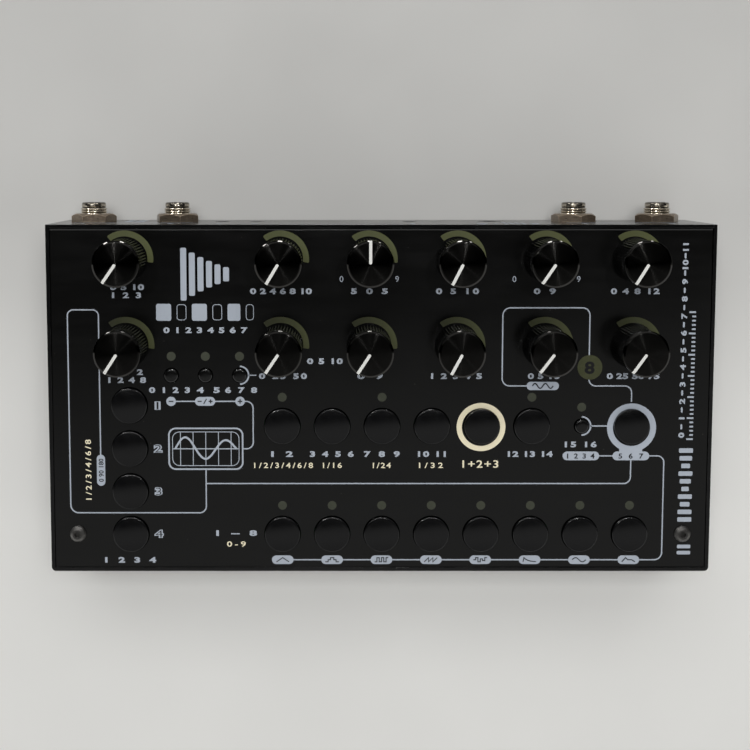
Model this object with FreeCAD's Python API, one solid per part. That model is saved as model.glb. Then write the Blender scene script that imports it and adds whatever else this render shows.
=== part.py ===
import FreeCAD, Part
import math
import os

from FreeCAD import Vector

# Digital delay unit: a desktop effects box with an inset control panel.
# Sizes are in millimetres. +X is to the operator's right, +Y is to the rear face with
# its sockets, and +Z is up, out of the control panel. The origin is on the surface
# that the feet stand on, under the middle of the whole unit, sockets included.

# Panel layout across the width
LEFT_MARGIN = 27.0            # left side of the case to the first knob column
FIRST_KNOB_GAP = 53.4         # first to second knob column
KNOB_PITCH = 30.4             # between the other knob columns
RIGHT_MARGIN = 28.0           # last knob column to the right side of the case
BUTTON_PITCH = 17.3           # between button columns, counted from the last knob column
LETTER_COLUMN_STEP = 1.0      # lettered button column, to the right of the first knob column
SMALL_BUTTON_STEP = 15.6      # first knob column to the first small button
SMALL_BUTTON_PITCH = 11.8

# Panel layout from rear to front
REAR_MARGIN = 12.2            # rear face to the first knob row
KNOB_ROW_PITCH = 29.8
KNOB_TO_BUTTON = 27.9         # second knob row to the first button row
BUTTON_ROW_PITCH = 38.2
FRONT_MARGIN = 13.3           # second button row to the front face
LETTER_PITCH = 15.15          # between lettered buttons
SMALL_ROW_DROP = 10.1         # second knob row to the small buttons
LAMP_RISE = 10.1              # a round button to the lamp behind it
SMALL_LAMP_RISE = 6.6         # a small button to the lamp behind it

# Case
CASE_WALL = 1.2
CASE_CORNER_RADIUS = 1.5      # upright corners
CASE_BEND_RADIUS = 1.3        # bend between floor and walls
FOOT_HEIGHT = 3.0
FOOT_RADIUS = 6.0
FOOT_TAPER = 0.8
FOOT_INSET_X = 27.0
FOOT_INSET_Y = 12.0

# Stack of boards and panel
SOCKET_FLOOR_GAP = 3.05       # case floor to the underside of the plug sockets
BOARD_THICKNESS = 1.6
BOARD_GAP = 9.55              # between the two circuit boards
BOARD_EDGE_GAP = 1.5          # circuit board to case wall
MAIN_BOARD_DEPTH = 70.0
PANEL_THICKNESS = 1.6
PANEL_EDGE_GAP = 0.25         # panel to case wall
PANEL_SINK = 0.3              # panel below the rim of the case

# Potentiometers
RUNNING_CLEARANCE = 0.05
SHAFT_RADIUS = 3.0
SHAFT_FLAT = 1.5              # flat of the shaft, from its axis
POT_BODY_WIDTH = 9.5
POT_BODY_DEPTH = 11.0
POT_BODY_HEIGHT = 6.6
POT_BASE = 1.2
ROTOR_RADIUS = 3.9
ROTOR_THICKNESS = 2.4
BUSHING_WALL = 0.45
BUSHING_SPARE = 0.6           # thread that stands above the nut
POT_WASHER_THICKNESS = 0.5
POT_WASHER_MARGIN = 2.0       # washer beyond the bushing
POT_NUT_WALL = 1.5
POT_NUT_THICKNESS = 2.0
THREAD_CLEARANCE = 0.03
HOLE_CLEARANCE = 0.15

# Knobs
KNOB_GAP = 0.8                # panel to knob
KNOB_RECESS_GAP = 0.35        # corners of the nut to the recess under the knob
KNOB_RECESS_ROOM = 0.6        # top of the bushing to the recess
KNOB_WALL = 0.88
RIB_DEPTH = 0.35
RIB_COUNT = 46
RIBBED_HEIGHT = 17.3
CAP_OVERHANG = 0.45           # metal cap beyond the ribs
CAP_THICKNESS = 1.5
CAP_BEVEL = 0.65
CAP_BEVEL_DROP = 0.5
POINTER_WIDTH = 1.0
KNOB_CROWN = 2.8              # plastic above the end of the shaft
KNOB_FIT = 0.02

# Push buttons on their switches
BUTTON_TRAVEL = 0.4
CAP_RADIUS = 6.1
CAP_RISE = 1.8                # top of the cap above the panel
CAP_LIFT = 1.6                # cap above its switch
CAP_CHAMFER = 1.1
CAP_CHAMFER_DROP = 0.45
CAP_SOCKET = 2.4
CAP_HOLE_GAP = 0.3
SWITCH_WIDTH = 12.0
PLUNGER_RADIUS = 3.4
SMALL_CAP_RADIUS = 2.35
SMALL_CAP_RISE = 1.2
SMALL_CAP_LIFT = 0.9
SMALL_CAP_CHAMFER = 0.5
SMALL_CAP_SOCKET = 1.6
SMALL_SWITCH_WIDTH = 6.0
SMALL_PLUNGER_RADIUS = 1.6
SWITCH_HEIGHT = 3.5
SWITCH_BASE = 0.8
PLUNGER_CLEARANCE = 0.1
FLANGE_STEP = 0.6             # plunger flange beyond the plunger
FLANGE_THICKNESS = 0.6
DOME_ROOM = 0.3               # space left for the spring dome under the plunger

# Lamps on the control board
LAMP_WIDTH = 3.2
LAMP_DEPTH = 2.8
LAMP_HEIGHT = 1.9
ARC_LAMP_SIZE = 1.6
ARC_LAMP_HEIGHT = 0.8
ARC_LAMP_RADIUS = 9.3         # from the knob's axis
ARC_LAMP_ANGLE = 62.0         # anticlockwise from +X

# Plug sockets for quarter inch plugs
SOCKET_WIDTH = 15.5
SOCKET_DEPTH = 25.0
SOCKET_HEIGHT = 14.5
SOCKET_PITCH = 30.4
LEFT_SOCKET_INSET = 11.5
RIGHT_SOCKET_INSET = 13.5
PLUG_BORE_RADIUS = 3.25
PLUG_DEPTH = 31.5
BARREL_RADIUS = 4.76
BARREL_PROUD = 6.9            # barrel beyond the rear face
BARREL_SEAT = 2.5             # barrel inside the socket's body
BARREL_COLLAR = 1.6           # smooth end of the barrel
BARREL_NECK = 0.5             # groove between the collar and the thread
BARREL_CHAMFER = 0.35
THREAD_PITCH = 0.85
THREAD_DEPTH = 0.38
SOCKET_NUT_FLATS = 14.0
SOCKET_NUT_THICKNESS = 2.8
SOCKET_NUT_CHAMFER = 0.5

# Small sockets
MINI_WIDTH = 6.0
MINI_DEPTH = 14.5
MINI_HEIGHT = 7.0
MINI_NOSE_RADIUS = 2.6
MINI_BORE_RADIUS = 1.85
MINI_BORE_DEPTH = 13.5
MINI_STEP = 16.8              # second plug socket to the first small socket
MINI_PITCH = 12.5
POWER_WIDTH = 9.0
POWER_DEPTH = 14.0
POWER_HEIGHT = 11.0
POWER_DROP = 6.4              # main board to the axis of the power inlet
POWER_NOSE_RADIUS = 4.2
POWER_BORE_RADIUS = 2.85
POWER_BORE_DEPTH = 9.5
POWER_PIN_RADIUS = 1.0
POWER_PIN_INSET = 0.5
SPARE_MINI_STEP = 15.4        # third knob column to the third small socket
POWER_STEP = 14.1             # fourth knob column to the power inlet
NOSE_CLEARANCE = 0.2

# Board parts
STANDOFF_FLATS = 5.0
STANDOFF_EDGE = 9.5           # board edge to the front standoffs, across
STANDOFF_FRONT = 6.0          # front edge of the main board to the front standoffs
BOARD_SCREW_RADIUS = 1.25
BOARD_SCREW_LENGTH = 5.0
BOARD_SCREW_HEAD_RADIUS = 2.25
BOARD_SCREW_HEAD_HEIGHT = 1.5
HEADER_LENGTH = 40.0
HEADER_WIDTH = 5.0
PROCESSOR_SIZE = 14.0
PROCESSOR_HEIGHT = 1.4
CAPACITOR_RADIUS = 3.15
CAPACITOR_HEIGHT = 7.7

# Panel screws and their pillars
PILLAR_INSET = 9.4            # side of the case to a pillar
PILLAR_FLATS = 6.0
PILLAR_GAP = 0.6
SCREW_RADIUS = 1.5
SCREW_LENGTH = 8.0
SCREW_HEAD_RADIUS = 2.85
SCREW_HEAD_HEIGHT = 1.65
SCREW_SOCKET_FLATS = 2.0
SCREW_SOCKET_DEPTH = 1.1
PAN_HEAD_HEIGHT = 1.9

# Heights, from the floor up
CASE_BOTTOM = FOOT_HEIGHT
CASE_FLOOR = CASE_BOTTOM + CASE_WALL
SOCKET_BOTTOM = CASE_FLOOR + SOCKET_FLOOR_GAP
SOCKET_AXIS = SOCKET_BOTTOM + SOCKET_HEIGHT / 2
MAIN_BOARD_BOTTOM = SOCKET_BOTTOM + SOCKET_HEIGHT
MAIN_BOARD_TOP = MAIN_BOARD_BOTTOM + BOARD_THICKNESS
CONTROL_BOARD_BOTTOM = MAIN_BOARD_TOP + BOARD_GAP
CONTROL_BOARD_TOP = CONTROL_BOARD_BOTTOM + BOARD_THICKNESS
PANEL_BOTTOM = CONTROL_BOARD_TOP + POT_BODY_HEIGHT
PANEL_TOP = PANEL_BOTTOM + PANEL_THICKNESS
CASE_TOP = PANEL_TOP + PANEL_SINK
SWITCH_TOP = CONTROL_BOARD_TOP + SWITCH_HEIGHT
MINI_AXIS = MAIN_BOARD_BOTTOM - MINI_HEIGHT / 2
POWER_AXIS = MAIN_BOARD_BOTTOM - POWER_DROP

# Outline of the case
CASE_WIDTH = LEFT_MARGIN + FIRST_KNOB_GAP + 4 * KNOB_PITCH + RIGHT_MARGIN
CASE_DEPTH = REAR_MARGIN + KNOB_ROW_PITCH + KNOB_TO_BUTTON + BUTTON_ROW_PITCH + FRONT_MARGIN
LEFT_X = -CASE_WIDTH / 2
RIGHT_X = CASE_WIDTH / 2
REAR_Y = (CASE_DEPTH - BARREL_PROUD) / 2
FRONT_Y = REAR_Y - CASE_DEPTH
REAR_WALL_Y = REAR_Y - CASE_WALL

# Rows and columns of the controls
LAST_KNOB_X = RIGHT_X - RIGHT_MARGIN
KNOB_COLUMNS = [LEFT_X + LEFT_MARGIN] + [LAST_KNOB_X - KNOB_PITCH * i for i in (4, 3, 2, 1, 0)]
KNOB_ROWS = [REAR_Y - REAR_MARGIN, REAR_Y - REAR_MARGIN - KNOB_ROW_PITCH]
BUTTON_COLUMNS = [LAST_KNOB_X - BUTTON_PITCH * i for i in (7, 6, 5, 4, 3, 2, 1, 0)]
UPPER_BUTTON_Y = KNOB_ROWS[1] - KNOB_TO_BUTTON
LOWER_BUTTON_Y = UPPER_BUTTON_Y - BUTTON_ROW_PITCH
LETTER_X = KNOB_COLUMNS[0] + LETTER_COLUMN_STEP
SMALL_BUTTON_Y = KNOB_ROWS[1] - SMALL_ROW_DROP
SMALL_COLUMNS = [KNOB_COLUMNS[0] + SMALL_BUTTON_STEP + SMALL_BUTTON_PITCH * i for i in (0, 1, 2)]

# Sizes that follow from a fit
BUSHING_BORE = SHAFT_RADIUS + RUNNING_CLEARANCE
BUSHING_RADIUS = BUSHING_BORE + BUSHING_WALL
BUSHING_TOP = PANEL_TOP + POT_WASHER_THICKNESS + POT_NUT_THICKNESS + BUSHING_SPARE
POT_NUT_FLATS = 2 * (BUSHING_RADIUS + POT_NUT_WALL)
KNOB_BOTTOM = PANEL_TOP + KNOB_GAP
KNOB_RECESS_RADIUS = POT_NUT_FLATS / math.sqrt(3) + KNOB_RECESS_GAP
KNOB_RECESS_TOP = BUSHING_TOP + KNOB_RECESS_ROOM
RIB_RADIUS = KNOB_RECESS_RADIUS + KNOB_WALL + RIB_DEPTH
RIB_ROOT_RADIUS = RIB_RADIUS - RIB_DEPTH
KNOB_CAP_RADIUS = RIB_RADIUS + CAP_OVERHANG
KNOB_BODY_TOP = KNOB_BOTTOM + RIBBED_HEIGHT
KNOB_TOP = KNOB_BODY_TOP + CAP_THICKNESS
SHAFT_TOP = KNOB_BODY_TOP - KNOB_CROWN
ROTOR_BOTTOM = CONTROL_BOARD_TOP + POT_BASE + RUNNING_CLEARANCE
PILLAR_CORNER_RADIUS = PILLAR_FLATS / math.sqrt(3)
PILLAR_POINTS = [(LEFT_X + PILLAR_INSET, LOWER_BUTTON_Y), (RIGHT_X - PILLAR_INSET, LOWER_BUTTON_Y)]

# Edges of the boards
BOARD_LEFT = LEFT_X + CASE_WALL + BOARD_EDGE_GAP
BOARD_RIGHT = RIGHT_X - CASE_WALL - BOARD_EDGE_GAP
BOARD_REAR = REAR_WALL_Y - BOARD_EDGE_GAP
CONTROL_BOARD_FRONT = FRONT_Y + CASE_WALL + BOARD_EDGE_GAP
MAIN_BOARD_FRONT = BOARD_REAR - MAIN_BOARD_DEPTH

# Knobs from left to right, each with the pointer's angle at rest, clockwise from the rear
REAR_KNOBS = {
    "knob_input_gain": 215.0,
    "knob_feedback": 211.0,
    "knob_filter": 0.0,
    "knob_levels": 207.0,
    "knob_mix": 214.0,
    "knob_volume": 211.0,
}
FRONT_KNOBS = {
    "knob_speed": 213.0,
    "knob_coarse": 214.0,
    "knob_fine": 213.0,
    "knob_spacing": 208.0,
    "knob_rate": 217.0,
    "knob_amount": 215.0,
}
KNOBS = {
    name: (x, y, angle)
    for row, y in zip((REAR_KNOBS, FRONT_KNOBS), KNOB_ROWS)
    for (name, angle), x in zip(row.items(), KNOB_COLUMNS)
}

# Round buttons and small buttons by name, with their places
LETTERED_BUTTONS = {
    "button_" + letter: (LETTER_X, LOWER_BUTTON_Y + LETTER_PITCH * (3 - i))
    for i, letter in enumerate("abcd")
}
UPPER_BUTTONS = {
    "button_" + name: (x, UPPER_BUTTON_Y)
    for name, x in zip(["tap", "select", "write", "play", "shift", "bypass"], BUTTON_COLUMNS)
}
UPPER_BUTTONS["button_effect"] = (BUTTON_COLUMNS[-1], UPPER_BUTTON_Y)
PRESET_BUTTONS = {
    "button_preset_%d" % (i + 1): (x, LOWER_BUTTON_Y) for i, x in enumerate(BUTTON_COLUMNS)
}
ROUND_BUTTONS = {**LETTERED_BUTTONS, **UPPER_BUTTONS, **PRESET_BUTTONS}
SMALL_BUTTONS = {
    "button_freeze": (SMALL_COLUMNS[0], SMALL_BUTTON_Y),
    "button_link": (SMALL_COLUMNS[1], SMALL_BUTTON_Y),
    "button_sync": (SMALL_COLUMNS[2], SMALL_BUTTON_Y),
    "button_rate_sync": (BUTTON_COLUMNS[-2], UPPER_BUTTON_Y),
}

LAMP_OWNERS = ["button_tap", "button_write", "button_bypass"] + list(PRESET_BUTTONS)
LAMP_POINTS = [(ROUND_BUTTONS[name][0], ROUND_BUTTONS[name][1] + LAMP_RISE) for name in LAMP_OWNERS]
LAMP_POINTS += [(x, y + SMALL_LAMP_RISE) for x, y in SMALL_BUTTONS.values()]

# Sockets along the rear face
LEFT_SOCKET_X = LEFT_X + LEFT_SOCKET_INSET
RIGHT_SOCKET_X = RIGHT_X - RIGHT_SOCKET_INSET
SOCKET_COLUMNS = [
    LEFT_SOCKET_X,
    LEFT_SOCKET_X + SOCKET_PITCH,
    RIGHT_SOCKET_X - SOCKET_PITCH,
    RIGHT_SOCKET_X,
]
NUT_TURNS = [10.0, 44.0, 40.0, 4.0]  # how far each socket nut happens to be turned
FIRST_MINI_X = SOCKET_COLUMNS[1] + MINI_STEP
MINI_COLUMNS = [FIRST_MINI_X, FIRST_MINI_X + MINI_PITCH, KNOB_COLUMNS[2] + SPARE_MINI_STEP]
POWER_X = KNOB_COLUMNS[3] + POWER_STEP

# Places of the standoffs between the boards
BETWEEN_ROWS_Y = (KNOB_ROWS[0] + KNOB_ROWS[1]) / 2
STANDOFF_POINTS = [
    (BOARD_LEFT + STANDOFF_EDGE, MAIN_BOARD_FRONT + STANDOFF_FRONT),
    (BOARD_RIGHT - STANDOFF_EDGE, MAIN_BOARD_FRONT + STANDOFF_FRONT),
    ((KNOB_COLUMNS[1] + KNOB_COLUMNS[2]) / 2, BETWEEN_ROWS_Y),
    ((KNOB_COLUMNS[3] + KNOB_COLUMNS[4]) / 2, BETWEEN_ROWS_Y),
]
HEADER_COLUMNS = [
    (KNOB_COLUMNS[0] + KNOB_COLUMNS[1]) / 2,
    (KNOB_COLUMNS[4] + KNOB_COLUMNS[5]) / 2,
]


def block(left, right, front, rear, bottom, top):
    return Part.makeBox(right - left, rear - front, top - bottom, Vector(left, front, bottom))


def centred_block(x, y, width, depth, bottom, top):
    return block(x - width / 2, x + width / 2, y - depth / 2, y + depth / 2, bottom, top)


def rod(x, y, bottom, top, radius):
    return Part.makeCylinder(radius, top - bottom, Vector(x, y, bottom))


def rear_rod(x, z, inner, outer, radius):
    """A cylinder along +Y, from inner to outer."""
    return Part.makeCylinder(radius, outer - inner, Vector(x, inner, z), Vector(0, 1, 0))


def turned(points, base=Vector(0, 0, 0), axis=Vector(0, 0, 1)):
    """A solid of revolution. Points are (radius, distance along the axis)."""
    across = Vector(1, 0, 0)
    corners = [base + across * radius + axis * along for radius, along in points]
    face = Part.Face(Part.makePolygon(corners + corners[:1]))
    return face.revolve(base, axis, 360)


def hexagon(flats, length):
    """A hexagonal prism up from the origin, with a corner along +X."""
    radius = flats / math.sqrt(3)
    angles = [math.radians(60 * i) for i in range(7)]
    corners = [Vector(radius * math.cos(angle), radius * math.sin(angle), 0) for angle in angles]
    return Part.Face(Part.makePolygon(corners)).extrude(Vector(0, 0, length))


def upright_hexagon(x, y, bottom, top, flats):
    prism = hexagon(flats, top - bottom)
    prism.translate(Vector(x, y, bottom))
    return prism


def front_rounded_block(left, right, front, rear, bottom, top, radius):
    """A block whose two upright front edges are rounded."""
    shape = block(left, right, front, rear, bottom, top)
    edges = [
        edge for edge in shape.Edges
        if edge.BoundBox.YMax < front + 0.01 and edge.BoundBox.ZLength > (top - bottom) / 2
    ]
    return shape.makeFillet(radius, edges)


def placed(shape, x, y, turn=0.0):
    """A copy of a shape that was made on the Z axis, turned clockwise seen from above."""
    copy = shape.copy()
    if turn:
        copy.rotate(Vector(0, 0, 0), Vector(0, 0, 1), -turn)
    copy.translate(Vector(x, y, 0))
    return copy


def group(shapes):
    return Part.makeCompound(shapes)


def knob_points():
    return [(x, y) for x, y, _ in KNOBS.values()]


def rear_hole(x, z, radius):
    return rear_rod(x, z, REAR_WALL_Y - 1, REAR_Y + 1, radius)


def case():
    """The folded metal tray: floor, front wall and two side walls, open at the rear."""
    outer = front_rounded_block(LEFT_X, RIGHT_X, FRONT_Y, REAR_Y, CASE_BOTTOM, CASE_TOP, CASE_CORNER_RADIUS)
    bends = [
        edge for edge in outer.Edges
        if edge.BoundBox.ZMax < CASE_BOTTOM + 0.01 and edge.BoundBox.YMin < REAR_Y - 0.01
    ]
    outer = outer.makeFillet(CASE_BEND_RADIUS, bends)
    hollow = front_rounded_block(
        LEFT_X + CASE_WALL, RIGHT_X - CASE_WALL, FRONT_Y + CASE_WALL, REAR_Y + 1,
        CASE_FLOOR, CASE_TOP + 1, max(CASE_CORNER_RADIUS - CASE_WALL, 0.2),
    )
    screw_hole = SCREW_RADIUS + HOLE_CLEARANCE
    holes = [rod(x, y, CASE_BOTTOM - 1, CASE_FLOOR + 1, screw_hole) for x, y in PILLAR_POINTS]
    return outer.cut([hollow] + holes)


def rear_panel():
    """The rear wall, a plate that closes the tray and holds the sockets."""
    plate = block(LEFT_X + CASE_WALL, RIGHT_X - CASE_WALL, REAR_WALL_Y, REAR_Y, CASE_FLOOR, CASE_TOP)
    holes = [rear_hole(x, SOCKET_AXIS, BARREL_RADIUS + HOLE_CLEARANCE) for x in SOCKET_COLUMNS]
    holes += [rear_hole(x, MINI_AXIS, MINI_NOSE_RADIUS + NOSE_CLEARANCE) for x in MINI_COLUMNS]
    holes.append(rear_hole(POWER_X, POWER_AXIS, POWER_NOSE_RADIUS + NOSE_CLEARANCE))
    return plate.cut(holes)


def faceplate():
    """The printed panel, let into the case, with the holes for its controls and two screws."""
    edge = CASE_WALL + PANEL_EDGE_GAP
    corner = max(CASE_CORNER_RADIUS - edge, 0.2)
    plate = front_rounded_block(
        LEFT_X + edge, RIGHT_X - edge, FRONT_Y + edge, REAR_Y - edge, PANEL_BOTTOM, PANEL_TOP, corner
    )
    sizes = [(point, BUSHING_RADIUS + HOLE_CLEARANCE) for point in knob_points()]
    sizes += [(point, CAP_RADIUS + CAP_HOLE_GAP) for point in ROUND_BUTTONS.values()]
    sizes += [(point, SMALL_CAP_RADIUS + CAP_HOLE_GAP) for point in SMALL_BUTTONS.values()]
    sizes += [(point, SCREW_RADIUS + HOLE_CLEARANCE) for point in PILLAR_POINTS]
    return plate.cut([rod(x, y, PANEL_BOTTOM - 1, PANEL_TOP + 1, radius) for (x, y), radius in sizes])


def board_screw_holes(bottom, top):
    radius = BOARD_SCREW_RADIUS + HOLE_CLEARANCE
    return [rod(x, y, bottom - 1, top + 1, radius) for x, y in STANDOFF_POINTS]


def control_board():
    """The upper circuit board, which carries the potentiometers, switches and lamps."""
    board = block(
        BOARD_LEFT, BOARD_RIGHT, CONTROL_BOARD_FRONT, BOARD_REAR, CONTROL_BOARD_BOTTOM, CONTROL_BOARD_TOP
    )
    radius = PILLAR_CORNER_RADIUS + PILLAR_GAP
    holes = [rod(x, y, CONTROL_BOARD_BOTTOM - 1, CONTROL_BOARD_TOP + 1, radius) for x, y in PILLAR_POINTS]
    return board.cut(holes + board_screw_holes(CONTROL_BOARD_BOTTOM, CONTROL_BOARD_TOP))


def main_board():
    """The lower circuit board, which carries the sockets and the processor."""
    board = block(BOARD_LEFT, BOARD_RIGHT, MAIN_BOARD_FRONT, BOARD_REAR, MAIN_BOARD_BOTTOM, MAIN_BOARD_TOP)
    return board.cut(board_screw_holes(MAIN_BOARD_BOTTOM, MAIN_BOARD_TOP))


def pot_body():
    """One potentiometer's housing with its threaded bushing, hollow for the rotor and shaft."""
    body = centred_block(0, 0, POT_BODY_WIDTH, POT_BODY_DEPTH, CONTROL_BOARD_TOP, PANEL_BOTTOM)
    body = body.fuse(rod(0, 0, PANEL_BOTTOM - 1, BUSHING_TOP, BUSHING_RADIUS))
    chamber_top = ROTOR_BOTTOM + ROTOR_THICKNESS + RUNNING_CLEARANCE
    chamber = rod(0, 0, CONTROL_BOARD_TOP + POT_BASE, chamber_top, ROTOR_RADIUS + RUNNING_CLEARANCE)
    return body.cut([chamber, rod(0, 0, chamber_top - 1, BUSHING_TOP + 1, BUSHING_BORE)])


def pot_washer():
    outer = rod(0, 0, PANEL_TOP, PANEL_TOP + POT_WASHER_THICKNESS, BUSHING_RADIUS + POT_WASHER_MARGIN)
    return outer.cut(rod(0, 0, PANEL_TOP - 1, BUSHING_TOP, BUSHING_RADIUS + THREAD_CLEARANCE))


def pot_nut():
    bottom = PANEL_TOP + POT_WASHER_THICKNESS
    nut = upright_hexagon(0, 0, bottom, bottom + POT_NUT_THICKNESS, POT_NUT_FLATS)
    return nut.cut(rod(0, 0, bottom - 1, BUSHING_TOP, BUSHING_RADIUS + THREAD_CLEARANCE))


def flattened_rod(radius, flat, bottom, top):
    """A shaft with a flat on its rear side."""
    cutter = block(-2 * radius, 2 * radius, flat, 2 * radius, bottom - 1, top + 1)
    return rod(0, 0, bottom, top, radius).cut(cutter)


def pot_shaft():
    """The turning shaft, with the rotor that keeps it in the housing."""
    rotor = rod(0, 0, ROTOR_BOTTOM, ROTOR_BOTTOM + ROTOR_THICKNESS, ROTOR_RADIUS)
    neck = rod(0, 0, ROTOR_BOTTOM, KNOB_RECESS_TOP, SHAFT_RADIUS)
    return rotor.fuse([neck, flattened_rod(SHAFT_RADIUS, SHAFT_FLAT, KNOB_RECESS_TOP - 1, SHAFT_TOP)])


def ribbed_column(bottom, top):
    """A column with upright ribs round it. Each rib has a flat crest and sloping flanks."""
    rib = [(0.0, RIB_RADIUS), (0.4, RIB_RADIUS), (0.6, RIB_ROOT_RADIUS), (0.8, RIB_ROOT_RADIUS)]
    corners = []
    for i in range(RIB_COUNT):
        for share, radius in rib:
            angle = 2 * math.pi * (i + share) / RIB_COUNT
            corners.append(Vector(radius * math.cos(angle), radius * math.sin(angle), bottom))
    return Part.Face(Part.makePolygon(corners + corners[:1])).extrude(Vector(0, 0, top - bottom))


def knob_body():
    """The moulded knob: ribbed side, recess over the nut, and the shaft's hole."""
    body = ribbed_column(KNOB_BOTTOM, KNOB_BODY_TOP)
    recess = rod(0, 0, KNOB_BOTTOM - 1, KNOB_RECESS_TOP, KNOB_RECESS_RADIUS)
    hole_radius = SHAFT_RADIUS + KNOB_FIT
    hole = flattened_rod(hole_radius, SHAFT_FLAT + KNOB_FIT, KNOB_RECESS_TOP - 1, SHAFT_TOP + KNOB_FIT)
    return body.cut([recess, hole])


def knob_cap_blank():
    """The metal disc on top of the knob, with its bevelled rim."""
    return turned([
        (0, KNOB_BODY_TOP),
        (KNOB_CAP_RADIUS, KNOB_BODY_TOP),
        (KNOB_CAP_RADIUS, KNOB_TOP - CAP_BEVEL_DROP),
        (KNOB_CAP_RADIUS - CAP_BEVEL, KNOB_TOP),
        (0, KNOB_TOP),
    ])


def pointer_slot():
    return block(
        -POINTER_WIDTH / 2, POINTER_WIDTH / 2, 0, KNOB_CAP_RADIUS + 1,
        KNOB_TOP - CAP_BEVEL_DROP, KNOB_TOP + 1,
    )


def knob():
    """The pieces that turn together: moulded body, metal cap, pointer line and shaft."""
    blank = knob_cap_blank()
    return group([knob_body(), blank.cut(pointer_slot()), blank.common(pointer_slot()), pot_shaft()])


def switch_cavity_top():
    return CONTROL_BOARD_TOP + SWITCH_BASE + FLANGE_THICKNESS + BUTTON_TRAVEL + DOME_ROOM


def switch_housing(width, plunger_radius):
    """One switch housing, hollow for the plunger and its flange."""
    housing = centred_block(0, 0, width, width, CONTROL_BOARD_TOP, SWITCH_TOP)
    top = switch_cavity_top()
    hole_radius = plunger_radius + PLUNGER_CLEARANCE
    cavity = rod(0, 0, CONTROL_BOARD_TOP + SWITCH_BASE, top, hole_radius + FLANGE_STEP)
    return housing.cut([cavity, rod(0, 0, top - DOME_ROOM, SWITCH_TOP + 1, hole_radius)])


def plunger(radius, top):
    """The part of a switch that travels under its cap."""
    flange_top = switch_cavity_top() - RUNNING_CLEARANCE
    flange = rod(0, 0, flange_top - FLANGE_THICKNESS, flange_top, radius + FLANGE_STEP)
    return flange.fuse(rod(0, 0, flange_top - FLANGE_THICKNESS, top, radius))


def round_button():
    """A large cap with a shallow raised face, on its plunger."""
    bottom = SWITCH_TOP + CAP_LIFT
    top = PANEL_TOP + CAP_RISE
    cap = turned([
        (0, bottom),
        (CAP_RADIUS, bottom),
        (CAP_RADIUS, top - CAP_CHAMFER_DROP),
        (CAP_RADIUS - CAP_CHAMFER, top),
        (0, top),
    ])
    stem_top = bottom + CAP_SOCKET
    stem = plunger(PLUNGER_RADIUS, stem_top)
    return group([cap.cut(rod(0, 0, bottom - 1, stem_top, PLUNGER_RADIUS)), stem])


def small_button():
    """A small cap on its plunger."""
    bottom = SWITCH_TOP + SMALL_CAP_LIFT
    top = PANEL_TOP + SMALL_CAP_RISE
    cap = turned([
        (0, bottom),
        (SMALL_CAP_RADIUS, bottom),
        (SMALL_CAP_RADIUS, top - SMALL_CAP_CHAMFER),
        (SMALL_CAP_RADIUS - SMALL_CAP_CHAMFER, top),
        (0, top),
    ])
    stem_top = bottom + SMALL_CAP_SOCKET
    stem = plunger(SMALL_PLUNGER_RADIUS, stem_top)
    return group([cap.cut(rod(0, 0, bottom - 1, stem_top, SMALL_PLUNGER_RADIUS)), stem])


def lamps():
    """A lamp under each lamp window, and a smaller one under the arc round each knob."""
    top = CONTROL_BOARD_TOP + LAMP_HEIGHT
    single = [centred_block(x, y, LAMP_WIDTH, LAMP_DEPTH, CONTROL_BOARD_TOP, top) for x, y in LAMP_POINTS]
    angle = math.radians(ARC_LAMP_ANGLE)
    across = ARC_LAMP_RADIUS * math.cos(angle)
    back = ARC_LAMP_RADIUS * math.sin(angle)
    arc_top = CONTROL_BOARD_TOP + ARC_LAMP_HEIGHT
    return group(single + [
        centred_block(x + across, y + back, ARC_LAMP_SIZE, ARC_LAMP_SIZE, CONTROL_BOARD_TOP, arc_top)
        for x, y in knob_points()
    ])


def socket_body(x):
    """The moulded body of one plug socket, bored for the plug."""
    body = centred_block(
        x, REAR_WALL_Y - SOCKET_DEPTH / 2, SOCKET_WIDTH, SOCKET_DEPTH, SOCKET_BOTTOM, MAIN_BOARD_BOTTOM
    )
    inner_end = REAR_Y + BARREL_PROUD - PLUG_DEPTH
    bore = rear_rod(x, SOCKET_AXIS, inner_end, REAR_WALL_Y + 1, PLUG_BORE_RADIUS)
    seat = rear_rod(x, SOCKET_AXIS, REAR_WALL_Y - BARREL_SEAT, REAR_WALL_Y + 1, BARREL_RADIUS)
    return body.cut([bore, seat])


def socket_barrel(x):
    """The metal barrel of one plug socket: a thread, drawn as a row of grooves, and a smooth collar at its end."""
    start = -CASE_WALL - BARREL_SEAT
    end = BARREL_PROUD
    root = BARREL_RADIUS - THREAD_DEPTH
    outline = [(PLUG_BORE_RADIUS, start), (BARREL_RADIUS, start)]
    thread_end = end - BARREL_COLLAR - BARREL_NECK
    grooves = int(thread_end / THREAD_PITCH)
    first = thread_end - grooves * THREAD_PITCH
    for i in range(grooves):
        along = first + i * THREAD_PITCH
        outline += [(BARREL_RADIUS, along), (root, along + THREAD_PITCH / 2)]
    collar = root + THREAD_DEPTH / 4
    outline += [
        (BARREL_RADIUS, thread_end),
        (root, thread_end + BARREL_NECK / 2),
        (root, end - BARREL_COLLAR),
        (collar, end - BARREL_COLLAR),
        (collar, end - BARREL_CHAMFER),
        (collar - BARREL_CHAMFER, end),
        (PLUG_BORE_RADIUS, end),
    ]
    return turned(outline, Vector(x, REAR_Y, SOCKET_AXIS), Vector(0, 1, 0))


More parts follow.
